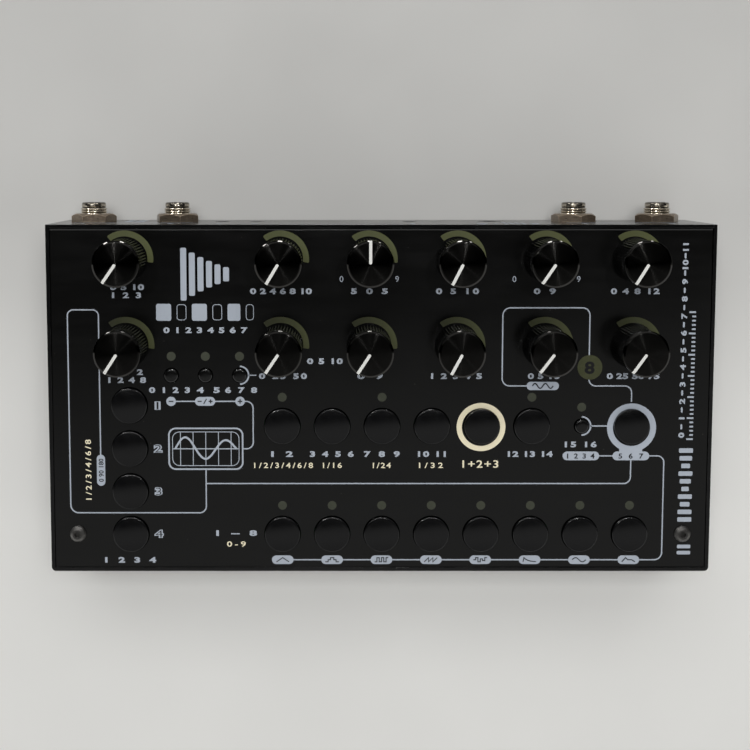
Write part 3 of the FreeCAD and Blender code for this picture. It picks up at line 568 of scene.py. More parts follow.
def stroke(bm, line, width, closed=False, lift=0.0):
    """A flat ribbon of one width along a line. lift keeps crossing shapes apart."""
    line = [Vector(point) for point in line]
    count = len(line)
    pairs = []
    for i, here in enumerate(line):
        before = line[i - 1] if i or closed else None
        after = line[(i + 1) % count] if i < count - 1 or closed else None
        into = (here - before).normalized() if before is not None else (after - here).normalized()
        out = (after - here).normalized() if after is not None else into
        mean = (into + out).normalized()
        side = Vector((-mean.y, mean.x)) * (width / 2 / max(0.5, mean.dot(into)))
        pairs.append([bm.verts.new((*(here + side), lift)), bm.verts.new((*(here - side), lift))])
    for i in range(count if closed else count - 1):
        (a, b), (c, d) = pairs[i], pairs[(i + 1) % count]
        bm.faces.new((a, b, d, c))


def patch(bm, outline, lift=0.0):
    """A flat patch inside an outline."""
    bm.faces.new([bm.verts.new((*point, lift)) for point in outline])


def disc(bm, x, y, radius, steps=48, lift=0.0):
    patch(bm, arc_points(x, y, radius, 0, 360, steps)[:-1], lift)


def pill(bm, x, y, width, height, lift=0.0):
    """A bar with round ends. The ends are at the sides or, if it is upright, at top and bottom."""
    radius = min(width, height) / 2
    across, up = max(width / 2 - radius, 0), max(height / 2 - radius, 0)
    start = -90 if width >= height else 0
    outline = []
    for side in (1, -1):
        outline += arc_points(x + side * across, y + side * up, radius, start, start + 180, 12)
        start += 180
    patch(bm, outline, lift)


def rounded_box(left, right, bottom, top, corner, steps=7):
    """The outline of a box with rounded corners."""
    points = [(left, bottom, corner), (right, bottom, corner), (right, top, corner), (left, top, corner)]
    return bent(points, True, steps)


def block(bm, left, right, bottom, top, corner=0.25, lift=0.0):
    patch(bm, rounded_box(left, right, bottom, top, corner, 3), lift)


def band(bm, x, y, outer, inner, start=0.0, end=360.0, lift=0.0):
    """A flat ring, or part of one."""
    whole = end - start == 360
    line = arc_points(x, y, (outer + inner) / 2, start, end, max(8, int((end - start) / 4)))
    stroke(bm, line[:-1] if whole else line, outer - inner, whole, lift)


def arc_window(bm, x, y, outer, inner, start, end, corner):
    """Part of a ring with its corners rounded."""
    line = arc_points(x, y, outer, start, end, 25)
    back = arc_points(x, y, inner, end, start, 21)
    for points in (line, back):
        points[0], points[-1] = (*points[0], corner), (*points[-1], corner)
    patch(bm, bent(line + back, True, 4))


FACE_HEIGHT = 0.73  # height of a number in the plain built-in face, for a size of one


def flat_text(text, weight, spacing):
    """The outline of a text in the built-in face as a mesh, with its left and right ends."""
    curve = bpy.data.curves.new("digits", "FONT")
    curve.body = text
    curve.offset = weight
    curve.space_character = spacing
    curve.resolution_u = 3
    holder = bpy.data.objects.new("digits", curve)
    mesh = bpy.data.meshes.new_from_object(holder)
    bpy.data.objects.remove(holder)
    bpy.data.curves.remove(curve)
    across = [vert.co.x for vert in mesh.vertices]
    return mesh, min(across), max(across)


def digits(bm, text, x, y, height, width=None, stretch=1.55, weight=0.045, turn=0.0):
    """Plain numbers, height tall. Where a width is given, their spacing or else their stretch follows it."""
    scale = height / (FACE_HEIGHT + 2 * weight)
    spacing = 1.1
    if width and len(text) > 1:
        wide = {}
        for step in (1.0, 2.0):
            mesh, left, right = flat_text(text, weight, step)
            wide[step] = (right - left) * scale * stretch
            bpy.data.meshes.remove(mesh)
        spacing = min(max(1.0 + (width - wide[1.0]) / (wide[2.0] - wide[1.0]), 1.02), 1.45)
    mesh, left, right = flat_text(text, weight, spacing)
    if width:
        stretch = min(width / ((right - left) * scale), stretch * 1.25)
    mesh.transform(
        Matrix.Translation((x, y, 0)) @ Matrix.Rotation(math.radians(turn), 4, "Z")
        @ Matrix.Diagonal((scale * stretch, scale, 1, 1))
        @ Matrix.Translation((-(left + right) / 2, -FACE_HEIGHT / 2, 0))
    )
    bm.from_mesh(mesh)
    bpy.data.meshes.remove(mesh)


def ink_mesh(bm, name, bottom, top):
    """Flat shapes as a thin body of ink between two heights."""
    made = bmesh.ops.extrude_face_region(bm, geom=list(bm.faces))
    upper = {item for item in made["geom"] if isinstance(item, bmesh.types.BMVert)}
    for vert in bm.verts:
        vert.co.z += top if vert in upper else bottom
    return finished_mesh(bm, name, 20)


# ---------------------------------------------------------------- case and fittings

class DELAYUNIT_OT_case(bpy.types.Operator):
    """Paints the folded case, its rear wall and the faceplate, and finishes feet and screws"""
    bl_idname = "delayunit.case"
    bl_label = "Case and faceplate"

    def execute(self, context):
        s = context.scene.delay_case
        paint = powder_coat(s.paint)
        finish_node("case", paint)
        finish_node("rear_panel", paint)
        finish_node("faceplate", faceplate_lacquer(s.lacquer, s.dust))
        finish_node("rubber_feet", foot_rubber(s.rubber))
        black_steel = plated("blackened_screw", (0.12, 0.117, 0.112), 0.42, (1.5, 1.5, 0.2))
        for node in ("panel_screws", "pillar_screws"):
            finish_node(node, black_steel)
        return {"FINISHED"}


class DELAYUNIT_OT_inside(bpy.types.Operator):
    """Finishes the boards and parts inside the case"""
    bl_idname = "delayunit.inside"
    bl_label = "Boards and inner parts"

    def execute(self, context):
        board = circuit_board((0.006, 0.03, 0.014), (0.02, 0.075, 0.03))
        steel = plated("zinc_plated_steel", (0.55, 0.54, 0.5), 0.34, (4, 4, 0.2))
        black = moulded("switch_plastic", (0.012, 0.012, 0.012), 0.45)
        white = moulded("lamp_plastic", (0.6, 0.6, 0.54), 0.3, 0.5)
        chip = moulded("chip_resin", (0.014, 0.014, 0.015), 0.6, 0.12, 0.008)
        can = plated("capacitor_can", (0.62, 0.62, 0.63), 0.3, (5, 5, 0.3))
        nickel = plated("pot_plating", (0.6, 0.58, 0.53), 0.32, (5, 5, 0.25))
        finishes = {
            "control_board": board, "main_board": board, "board_standoffs": steel, "standoff_screws": steel,
            "panel_pillars": steel, "pot_bodies": nickel, "pot_washers": nickel, "pot_nuts": nickel,
            "round_switches": black, "small_switches": black, "board_headers": black, "lamps": white,
            "processor": chip, "capacitors": can,
        }
        for node, material in finishes.items():
            finish_node(node, material)
        return {"FINISHED"}


# The quarter inch sockets: their place along X, and how far each nut is turned past a flat side up
SOCKETS = ((-103.5, 10), (-73.1, 44), (71.1, 40), (101.5, 4))
PITCH = 0.85
# The section of a thread: each point's share of the pitch, and its share of the thread's height
THREAD = [(0, 0), (0.08, 0.2), (0.2, 0.65), (0.32, 0.94), (0.5, 1), (0.68, 0.94), (0.8, 0.65), (0.92, 0.2)]
THREAD_ROOT, THREAD_CREST = 4.26, 4.76


def barrel_mesh(low, high):
    """A threaded barrel with a collar and a rounded mouth, its axis upright and its wall face at zero."""
    bm = bmesh.new()
    collar, bore = 4.4, 3.25
    end = high - 1.95
    profile = [(bore, low), (THREAD_CREST, low)]
    along = end - int((end - low) / PITCH) * PITCH
    while along < end - 0.01:
        for share, rise in THREAD:
            profile.append((THREAD_ROOT + (THREAD_CREST - THREAD_ROOT) * rise, along + PITCH * share))
        along += PITCH
    profile += [(THREAD_ROOT, end), (THREAD_ROOT - 0.02, high - 1.62)]
    profile += [(collar - 0.1, high - 1.58), (collar, high - 1.46)]
    for radius, first, last in ((4.0, 0, 15), (0.54, 15, 90)):
        reach, up = profile[-1]
        start = math.radians(first)
        for angle in range(first + 5, last + 1, 5):
            here = math.radians(angle)
            height = min(up + radius * (math.sin(here) - math.sin(start)), high)
            profile.append((reach - radius * (math.cos(start) - math.cos(here)), height))
    profile += [(bore + 0.35, high), (bore + 0.1, high - 0.1), (bore, high - 0.35)]
    rings = lathe(bm, profile)
    bridge(bm, rings[-1], rings[0])
    return finished_mesh(bm, "socket_barrel", 50)


def nut_mesh():
    """A hexagonal nut whose corners are cut off by a cone at the outer end."""
    bm = bmesh.new()
    half, depth, bore, land, count = 7.0, 2.8, 4.8, 6.75, 96
    fall = 0.65
    rings = [[] for _ in range(5)]
    for i in range(count):
        angle = TURN * i / count
        reach = half / math.cos((angle + math.pi / 6) % (math.pi / 3) - math.pi / 6)
        around = ((bore, 0), (reach, 0), (reach, depth - fall * (reach - land)), (land, depth), (bore, depth))
        for ring, (radius, height) in zip(rings, around):
            ring.append(bm.verts.new((*polar(radius, angle), height)))
    for first, second in zip(rings, rings[1:] + rings[:1]):
        bridge(bm, first, second)
    return finished_mesh(bm, "socket_nut", 20)


class DELAYUNIT_OT_sockets(bpy.types.Operator):
    """Adds the threaded barrels and the nuts, and finishes the plug sockets and the power inlet"""
    bl_idname = "delayunit.sockets"
    bl_label = "Sockets"

    def execute(self, context):
        s = context.scene.delay_sockets
        low, high = corners("socket_barrels")
        wall, z = corners("rear_panel")[1].y, (low.z + high.z) / 2
        grooves = (THREAD_ROOT - 0.02, 4.42)
        nickel = plated("barrel_nickel", s.nickel, 0.14, (5, 5, 0.3), 0.0, 0.0006, grooves)
        bronze = tarnished("nut_bronze", s.bronze, 0.3, (3, 3, 0.4))
        kinds = (("barrel", barrel_mesh(low.y - wall, high.y - wall), nickel), ("nut", nut_mesh(), bronze))
        for part, mesh, metal in kinds:
            for i, (x, turn) in enumerate(SOCKETS):
                piece = add_piece(
                    "socket_%s_%d" % (part, i + 1), mesh, metal, "unit", (x, wall, z),
                    replaces=("socket_%ss" % part,) if i == 0 else ())
                spin = math.radians(30 + turn) if part == "nut" else 0
                piece.rotation_euler = (-math.pi / 2, spin, 0)
        moulding = moulded("socket_moulding", s.moulding, 0.42, edge=0.15)
        for node in ("socket_bodies", "mini_sockets", "power_inlet"):
            finish_node(node, moulding)
        return {"FINISHED"}


# ---------------------------------------------------------------- knobs

RIB_ROOT, RIB_CREST = 6.92, 7.35
RIB_FLARE = 0.35
# The section of a rib: each point's place along the rib's share of the round, and its height over the root
RIB = [(0, 0.5), (0.08, 0.87), (0.32, 1), (0.4, 0.87), (0.58, 0.5), (0.66, 0.14), (0.74, 0), (0.82, 0.14)]
CAP, BEVEL, BEVEL_DROP = 7.8, 0.65, 0.5
FACE = CAP - BEVEL
CAP_GAP = 0.012  # the cap's face lies this far under the top of the box
BODY_TOP = KNOB_TOP - 1.5
RECESS = 6.12
SHAFT, SHAFT_FLAT, SHAFT_FOOT, SHAFT_TOP = 3.0, 1.5, 46.4, 58.0
HOLE_GAP = 0.02


def knob_body_mesh(ribs):
    """Ribbed side, the recess over the nut and the hole for the flatted shaft."""
    bm = bmesh.new()
    count = ribs * len(RIB)

    def ribbed(height, swell=0.0, depth=1.0):
        """A ring of points that follows the ribs."""
        ring = []
        for i in range(count):
            share, rise = RIB[i % len(RIB)]
            angle = TURN * (i // len(RIB) + share) / ribs
            radius = RIB_ROOT + (RIB_CREST - RIB_ROOT) * rise * depth + swell
            ring.append(bm.verts.new((*polar(radius, angle), height)))
        return ring

    low, hole, flat, end = KNOB_BOTTOM, SHAFT + HOLE_GAP, SHAFT_FLAT + HOLE_GAP, SHAFT_TOP + HOLE_GAP
    rings = [ring_of(bm, 0, end, count)]
    for point in (
            (hole, end, flat), (hole, SHAFT_FOOT, flat), (hole, SHAFT_FOOT), (RECESS, SHAFT_FOOT),
            (RECESS, low), (RIB_ROOT - 0.2, low)):
        rings.append(ring_of(bm, *point[:2], count, *point[2:]))
    rings.append(ribbed(low, swell=RIB_FLARE - 0.08, depth=0.8))
    rings.append(ribbed(low + 0.1, swell=RIB_FLARE))
    rings.append(ribbed(BODY_TOP - 0.12))
    rings.append(ribbed(BODY_TOP, depth=0.4))
    rings.append(ring_of(bm, 0, BODY_TOP, count))
    for first, second in zip(rings, rings[1:]):
        bridge(bm, first, second)
    return finished_mesh(bm, "knob_body", 40)


def cap_height(radius, crown):
    """Height of the cap's face: a low crown, then the bevel."""
    share = radius / FACE
    return KNOB_TOP - CAP_GAP - crown * min(share, 1) ** 2 - BEVEL_DROP * max(share - 1, 0) * FACE / BEVEL


def knob_cap_mesh(crown):
    bm = bmesh.new()
    profile = [(0, BODY_TOP), (CAP - 0.15, BODY_TOP), (CAP, BODY_TOP + 0.12)]
    profile.append((CAP, KNOB_TOP - crown - BEVEL_DROP - 0.05))
    radii = [CAP - 0.03, FACE + 0.03]
    radii += [FACE * share for share in (0.995, 0.97, 0.9, 0.75, 0.6, 0.45, 0.3, 0.15, 0.05)] + [0]
    profile += [(radius, cap_height(radius, crown)) for radius in radii]
    lathe(bm, profile, 144)
    return finished_mesh(bm, "knob_cap", 20)


def knob_pointer_mesh(crown, width):
    """A filled groove from the middle of the cap over its bevel, with a round inner end."""
    bm = bmesh.new()
    stations = [(0.0, 0.05), (0.06, 0.55), (0.2, 0.85)]
    stations += [(along, 1.0) for along in (0.5, 1.5, 2.5, 3.5, 4.5, 5.5, 6.4, FACE, CAP - 0.04)]
    sections = []
    for along, share in stations:
        half = width / 2 * share
        top = cap_height(along, crown) + CAP_GAP
        side = ((half, top - 0.35), (half, top - 0.01), (half * 0.93, top))
        across = [(-x, z) for x, z in side] + list(reversed(side))
        sections.append([bm.verts.new((x, along, z)) for x, z in across])
    for first, second in zip(sections, sections[1:]):
        bridge(bm, first, second)
    bm.faces.new(sections[0])
    bm.faces.new(sections[-1])
    return finished_mesh(bm, "knob_pointer", 30)


def knob_shaft_mesh():
    """Rotor and flatted shaft of the potentiometer."""
    bm = bmesh.new()
    rotor = [(0, 35.75), (3.8, 35.75), (3.9, 35.85), (3.9, 38.05), (3.8, 38.15)]
    shaft = [(SHAFT, 38.15), (SHAFT, SHAFT_FOOT), (SHAFT, SHAFT_FOOT, SHAFT_FLAT)]
    tip = [(SHAFT, SHAFT_TOP - 0.3, SHAFT_FLAT), (SHAFT - 0.25, SHAFT_TOP, SHAFT_FLAT), (0, SHAFT_TOP)]
    lathe(bm, rotor + shaft + tip, 64)
    return finished_mesh(bm, "knob_shaft", 30)


class DELAYUNIT_OT_knobs(bpy.types.Operator):
    """Adds the ribbed knobs with spun caps, pointer lines and shafts"""
    bl_idname = "delayunit.knobs"
    bl_label = "Knobs"

    def execute(self, context):
        s = context.scene.delay_knobs
        crown, width = s.crown / MM, s.pointer_width / MM
        plastic = moulded("knob_plastic", s.plastic, 0.13, 0.5, 0.0008, Specular_IOR_Level=0.12)
        pieces = [
            ("body", knob_body_mesh(s.ribs), plastic),
            ("cap", knob_cap_mesh(crown), spun_metal(s.cap)),
            ("pointer", knob_pointer_mesh(crown, width), painted_line(s.pointer)),
            ("shaft", knob_shaft_mesh(), plated("shaft_metal", (0.6, 0.58, 0.53), 0.3, (5, 5, 0.2))),
        ]
        for knob, turn in KNOBS.items():
            x, y = middle(knob)
            for part, mesh, material in pieces:
                add_piece("%s.%s" % (knob, part), mesh, material, knob, (x, y, 0), turn,
                          replaces=(knob,) if part == "body" else ())
        return {"FINISHED"}


# ---------------------------------------------------------------- buttons

# Radius of the cap and of its stem, height of the cap and how deep the stem's seat lies over its foot
ROUND_RADIUS, ROUND_STEM, ROUND_TALL, ROUND_SEAT = 6.1, 3.4, 4.9, 2.4
SMALL_RADIUS, SMALL_STEM, SMALL_TALL, SMALL_SEAT = 2.35, 1.6, 5.0, 1.6
STEM_FOOT, STEM_FLANGE = 35.95, 36.55


def cap_foot(bottom, radius, stem, seat, edge):
    """The underside of a cap, hollow for its plunger."""
    hollow = [(0, bottom + seat), (stem, bottom + seat), (stem, bottom)]
    return hollow + [(radius - edge, bottom), (radius, bottom + edge)]


def round_cap_mesh(top, fall):
    """A wide cap with a low dome and a soft edge."""
    bm = bmesh.new()
    profile = cap_foot(top - ROUND_TALL, ROUND_RADIUS, ROUND_STEM, ROUND_SEAT, 0.15)
    profile.append((ROUND_RADIUS, top - 0.68))
    for inset, drop in ((0.02, 0.15), (0.06, 0.08), (0.14, 0.03), (0.28, -0.01)):
        profile.append((ROUND_RADIUS - inset, top - fall - drop))
    for share in (0.85, 0.75, 0.62, 0.48, 0.32, 0.16, 0):
        profile.append((ROUND_RADIUS * share, top - fall * (share / 0.93) ** 2.1))
    lathe(bm, profile, 112)
    return finished_mesh(bm, "round_cap", 50)


def small_cap_mesh(top):
    bm = bmesh.new()
    profile = cap_foot(top - SMALL_TALL, SMALL_RADIUS, SMALL_STEM, SMALL_SEAT, 0.1)
    for inset, drop in ((0, 0.55), (0.04, 0.38), (0.14, 0.24), (0.3, 0.14), (0.55, 0.07), (1.0, 0.02)):
        profile.append((SMALL_RADIUS - inset, top - drop))
    lathe(bm, profile + [(0.6, top), (0, top)], 56)
    return finished_mesh(bm, "small_cap", 50)


def plunger_mesh(name, radius, top):
    bm = bmesh.new()
    flange = radius + 0.6
    profile = [(0, STEM_FOOT), (flange, STEM_FOOT), (flange, STEM_FLANGE), (radius, STEM_FLANGE)]
    lathe(bm, profile + [(radius, top), (0, top)], 48)
    return finished_mesh(bm, name, 30)


class DELAYUNIT_OT_buttons(bpy.types.Operator):
    """Adds the round and the small buttons on their plungers"""
    bl_idname = "delayunit.buttons"
    bl_label = "Buttons"

    def execute(self, context):
        s = context.scene.delay_buttons
        matt = moulded("round_cap_plastic", s.cap, 0.21, 0.18, 0.003)
        polished = moulded("small_cap_plastic", s.small, 0.16, 0.5, 0.0015)
        plain = moulded("plunger_plastic", (0.02, 0.02, 0.02), 0.45)
        round_cap, small_cap = round_cap_mesh(ROUND_TOP, s.dome / MM), small_cap_mesh(SMALL_TOP)
        round_stem = plunger_mesh("plunger", ROUND_STEM, ROUND_TOP - ROUND_TALL + ROUND_SEAT)
        small_stem = plunger_mesh("small_plunger", SMALL_STEM, SMALL_TOP - SMALL_TALL + SMALL_SEAT)
        kinds = [
            (ROUND_BUTTONS, "button", round_cap, round_stem, matt),
            (SMALL_BUTTONS, "small_button", small_cap, small_stem, polished),
        ]
        for names, slot, cap, stem, material in kinds:
            for name in names:
                place = (*middle(name), 0)
                add_piece(name + ".cap", cap, material, name, place, replaces=(name,))
                add_piece(name + ".plunger", stem, plain, name, place)
        return {"FINISHED"}


# ---------------------------------------------------------------- print

SMALL_PLACES = [middle(name) for name in SMALL_BUTTONS]
PRESET_PLACES = [middle(name) for name in PRESETS]
SHIFT, EFFECT = middle("button_shift"), middle("button_effect")
WAVE_Y = PRESET_PLACES[0][1] - 9.35
PILL_Y = SHIFT[1] - 10.55
INK_GAP = 0.002


def line_width():
    return bpy.context.scene.delay_print.line / MM


def printed(name, material, *drawings, layer=0):
    """Ink on the faceplate, drawn into one mesh. A second layer lies on the first."""
    thick = bpy.context.scene.delay_print.thickness / MM
    bottom = PANEL_TOP + INK_GAP + layer * thick * 1.02
    bm = bmesh.new()
    for draw in drawings:
        draw(bm)
    add_piece(name, ink_mesh(bm, name, bottom, bottom + thick), material, "unit")


def silver_lines(bm):
    """The lines that join the controls."""
    w = line_width()
    left, right, foot = -108.0, -97.3, -43.4
    for line in (
            [(right, -23), (right, 27.9, 2.0), (left, 27.9, 2.0), (left, foot, 2.8), (-60.7, foot, 2.3),
             (-60.7, -28.2)],
            [(-60.7 + w / 2 - 0.02, -33.0), (87.1, -33.0, 2.3), (87.1, -24)],
            [(-72.6, -4.0), (-44.2, -4.0, 2.3), (-44.2, -20.7, 2.3), (-47.6, -20.7)],
            [(51.0, 1.4), (42.0, 1.4, 2.6), (42.0, 28.6, 2.6), (72.0, 28.6, 2.6), (72.0, 11.5)],
            [(72.0, 4.0), (72.0, 1.4, 2.4), (86.9, 1.4, 2.4), (86.9, -4.2)],
            [(69.7, PILL_Y), (87.1, PILL_Y)],
            [(93.0, PILL_Y), (98.6, PILL_Y, 2.3), (98.6, WAVE_Y, 2.6), (PRESET_PLACES[0][0], WAVE_Y)]):
        stroke(bm, bent(line), w)
    x, y = SMALL_PLACES[2]
    stroke(bm, [(x + 3.0, y), (x + 5.8, y)], w * 0.8)
    band(bm, x, y, 3.4, 2.85, -88, 88)
    x, y = SMALL_PLACES[3]
    band(bm, x, y, 3.5, 2.95, -88, 88)
    stroke(bm, [(x + 3.1, y), (EFFECT[0] - 8.3, y)], w)


def silver_shapes(bm):
    """Rings, pills and plain blocks."""
    pills = [(-97.25, -28.3, 2.9, 11.0), (-60.8, -4.0, 7.0, 3.1), (56.1, 1.4, 11.2, 2.9)]
    pills += [(69.7, PILL_Y, 12.7, 3.1), (87.1, PILL_Y, 12.8, 3.1)]
    for shape in pills + [(x, WAVE_Y, 7.6, 3.1) for x, y in PRESET_PLACES]:
        pill(bm, *shape)
    for x in (-72.6, -48.7):
        disc(bm, x, -4.0, 1.65)
    x, y = EFFECT
    band(bm, x + 0.14, y - 0.6, 8.52, 6.44, lift=0.004)
    block(bm, x - 4.0, x + 4.0, PILL_Y, y - 7.2, 0.6, lift=0.008)


def cream_ring(bm):
    band(bm, SHIFT[0] - 0.22, SHIFT[1] - 0.39, 8.47, 6.64)


def emblem(bm):
    """A framed wave on a plain grid, in the place beside the buttons A to D."""
    w = line_width()
    x, y = -60.7, -20.7
    for wide, tall, width in ((12.8, 7.2, 1.3), (11.55, 5.95, 0.6)):
        stroke(bm, rounded_box(x - wide, x + wide, y - tall, y + tall, 2.4), w * width, True)
    stroke(bm, [(x - 11.4, y), (x + 11.4, y)], w * 0.8)
    for i in range(-2, 3):
        stroke(bm, [(x + i * 4.4, y - 5.8), (x + i * 4.4, y + 5.8)], w * 0.6, lift=0.003)
    wave = []
    for i in range(73):
        share = i / 72
        height = 4.3 * math.sin(TURN * 1.5 * share) * (1 - 0.35 * share)
        wave.append((x - 10.6 + 21.2 * share, y + height))
    stroke(bm, wave, w * 1.6, lift=0.006)


def fading_bars(bm):
    """Bars that get shorter, like repeats of one sound, in the tall place at the upper left."""
    for i, tall in enumerate((18.2, 14.9, 11.8, 9.1, 6.8, 4.9)):
        x = -68.9 + 2.93 * i
        block(bm, x, x + 2.05, 40.2 - tall / 2, 40.2 + tall / 2, 0.5)


def pulse_row(bm):
    """A row of solid and open blocks under the bars."""
    x = -77.4
    for i, wide in enumerate((5.2, 3.6, 5.2, 3.6, 4.4, 3.0)):
        if i % 2:
            outline = rounded_box(x + 0.25, x + wide - 0.25, 24.4, 29.7, 0.9, 4)
            stroke(bm, outline, line_width() * 0.55, True)
        else:
            block(bm, x, x + wide, 24.1, 30.0, 0.7)
        x += wide + 1.75


def side_scale(bm):
    """An upright scale of numbers and bars along the right edge."""
    for i in range(12):
        y = -15.9 + 5.95 * i
        digits(bm, str(i), 104.4, y, 2.1, stretch=1.4, turn=90)
        if i < 11:
            pill(bm, 104.4, y + 2.95, 0.62, 1.9)
    for i in range(31):
        y, tall = -17.6 + 1.48 * i, 1.3 if i % 5 else 2.3
        block(bm, 108.5 - tall, 108.5, y, y + 0.6, 0.1)
    for i, tall in enumerate((4.9, 4.9, 3.4, 4.9, 2.6, 3.9, 4.9, 3.1, 4.4, 4.9)):
        y = -46.6 + 2.72 * i
        block(bm, 106.25 - tall / 2, 106.25 + tall / 2, y, y + 1.6, 0.35)
    for y in (-58.3, -56.1):
        block(bm, 103.9, 108.6, y, y + 1.3, 0.35)


class DELAYUNIT_OT_lines(bpy.types.Operator):
    """Prints the lines, rings and plain shapes on the faceplate"""
    bl_idname = "delayunit.lines"
    bl_label = "Printed lines and shapes"

    def execute(self, context):
        s = context.scene.delay_print
        silver, cream = ink("silver_ink", s.silver), ink("cream_ink", s.cream)
        printed("printed_lines", silver, silver_lines)
        printed("printed_shapes", silver, silver_shapes, layer=0.2)
        printed("printed_marks", silver, emblem, fading_bars, pulse_row)
        printed("printed_side_scale", silver, side_scale)
        printed("printed_ring", cream, cream_ring)
        return {"FINISHED"}


# Silver numbers in the places of the knobs and buttons: text, x, y, width
SILVER_NUMBERS = [
    ("0 5 10", -87.3, 35.8, 11.7), ("1 2 3", -87.5, 33.0, 10.0), ("0 2 4 6 8 10", -34.4, 34.4, 21.3),
    ("5 0 5", -4.0, 34.4, 12.7), ("0 5 10", 26.3, 34.4, 14.8), ("0 9", 56.3, 34.4, 7.6),
    ("0 4 8 12", 87.4, 34.4, 16.8), ("0 1 2", -87.7, 6.3, 11.0), ("1 2 4 8", -87.7, 3.5, 13.1),
    ("0 25 50", -33.8, 4.9, 16.6), ("0 5 10", -19.3, 10.1, 12.4), ("0 9", -3.7, 4.9, 9.0),
    ("1 2 3 4 5", 26.2, 4.9, 17.6), ("0 5 10", 56.4, 4.9, 11.1), ("0 25 50 75", 87.3, 4.9, 18.3),
    ("1 2", -34.2, -22.5, 7.6), ("3 4 5 6", -16.9, -22.5, 15.3), ("7 8 9", 0.5, -22.5, 12.5),
    ("10 11", 17.9, -22.5, 9.7), ("12 13 14", 52.1, -22.5, 15.6), ("15 16", 69.6, -19.1, 11.1),
    ("1 \u2013 8", -50.2, -50.6, 14.3), ("1 2 3 4", -87.4, -60.2, 17.9), ("0 1 2 3", -73.1, 0.0, 14.2),
    ("4 5", -59.7, 0.0, 8.0), ("6 7 8", -48.3, 0.0, 11.1), ("0 1 2 3 4 5 6 7", -60.5, 20.9, 29.0),
]
SMALL_SILVER = [("0", -13.6, 38.6), ("9", 5.5, 38.6), ("0", 45.8, 38.6), ("9", 67.9, 38.6)]
# The second numbers: text, x, y, width, height, turn
CREAM_NUMBERS = [
    ("1/2/3/4/6/8", -33.7, -26.5, 20.5, 2.0, 0), ("1/16", -16.7, -26.5, 6.6, 2.0, 0),
    ("1/24", 0.5, -26.5, 6.3, 2.0, 0), ("1/32", 17.6, -26.5, 8.4, 2.0, 0),
    ("1+2+3", 34.8, -26.0, 12.5, 2.8, 0), ("0-9", -50.3, -54.5, 6.6, 2.0, 0),
    ("1/2/3/4/6/8", -101.7, -28.1, 21.3, 2.1, 90),
]


# Dark numbers on the pills and the disc: text, x, y, height, width, stretch, weight, turn
DARK_NUMBERS = [
    ("1 2 3 4", 69.7, PILL_Y, 1.9, 9.6, 1.2, 0.02), ("5 6 7", 87.1, PILL_Y, 1.9, 8.6, 1.2, 0.02),
    ("0 90 180", -97.25, -28.3, 1.8, 8.2, 1.1, 0.02, 90), ("8", 72.2, 7.9, 4.6, None, 1.2, 0.035),
]
# Strokes of a minus, a plus, and a minus, slash and plus: x, half the width, half the height, line
DARK_STROKES = [
    (-72.6, 0.8, 0, 0.4), (-48.7, 0.8, 0, 0.4), (-48.7, 0, 0.8, 0.4), (-62.7, 0.7, 0, 0.4),
    (-60.8, 0.5, 0.9, 0.35), (-58.9, 0.7, 0, 0.4), (-58.9, 0, 0.7, 0.4),
]
UP, DOWN = 0.75, -0.75


def stepped(edges, levels):
    """A stepped wave: each level runs from one edge to the next."""
    return [(x, y) for left, right, y in zip(edges, edges[1:], levels) for x in (left, right)]


SIXTHS = (-2.4, -1.6, -0.8, 0, 0.8, 1.6, 2.4)
# One plain wave for each preset pill
WAVES = [
    [(-2.2, DOWN), (0, UP), (2.2, DOWN)],
    stepped((-2.4, -1.4, -0.6, 0.6, 1.4, 2.4), (DOWN, 0, UP, 0, DOWN)),
    stepped(SIXTHS, (DOWN, UP, DOWN, UP, DOWN, UP)),
    [(-2.3, DOWN), (-0.8, UP), (-0.8, DOWN), (0.7, UP), (0.7, DOWN), (2.2, UP)],
    stepped(SIXTHS, (0, UP, DOWN, 0.3, -0.3, UP)),
    [(-2.3, DOWN), (-2.0, UP)] + [(-2.0 + 0.43 * i, DOWN + 1.5 * math.exp(-i / 3.2)) for i in range(1, 11)],
    [(-2.4 + 0.2 * i, UP * math.sin(TURN * i / 24)) for i in range(25)],
    [(-2.3, DOWN), (-1.0, UP), (-0.2, 0), (1.2, 0), (2.3, DOWN)],
]
# The numbers beside the buttons A to D, light with a dark middle: text, y, stretch
LETTER_NUMBERS = [
    (str(i + 1), middle("button_" + letter)[1], 1.5 if i else 2.2) for i, letter in enumerate("abcd")
]


def dark_signs(bm):
    """Dark signs and numbers on the pills, and the middles of the numbers beside the buttons A to D."""
    for x, across, up, width in DARK_STROKES:
        stroke(bm, [(x - across, -4.0 - up), (x + across, -4.0 + up)], width)
    wave = [(56.1 - 3.6 + 0.18 * i, 1.4 + 0.85 * math.sin(TURN * 2 * i / 40)) for i in range(41)]
    stroke(bm, wave, 0.42)
    for number in DARK_NUMBERS:
        digits(bm, *number)
    for (x, y), wave in zip(PRESET_PLACES, WAVES):
        stroke(bm, [(x + a, WAVE_Y + b) for a, b in wave], 0.34)
    for text, y, stretch in LETTER_NUMBERS:
        digits(bm, text, -77.3, y, 2.75, stretch=stretch, weight=-0.012)


def silver_numbers(bm):
    tall = bpy.context.scene.delay_print.number / MM
    for text, x, y, width in SILVER_NUMBERS:
        digits(bm, text, x, y, tall, width)
    for text, x, y in SMALL_SILVER:
        digits(bm, text, x, y, tall, stretch=1.0, weight=0.0)
    for text, y, stretch in LETTER_NUMBERS:
        digits(bm, text, -77.3, y, 3.1, stretch=stretch, weight=0.09)


def cream_numbers(bm):
    for text, x, y, width, height, turn in CREAM_NUMBERS:
        digits(bm, text, x, y, height, width, 1.25, 0.015, turn)


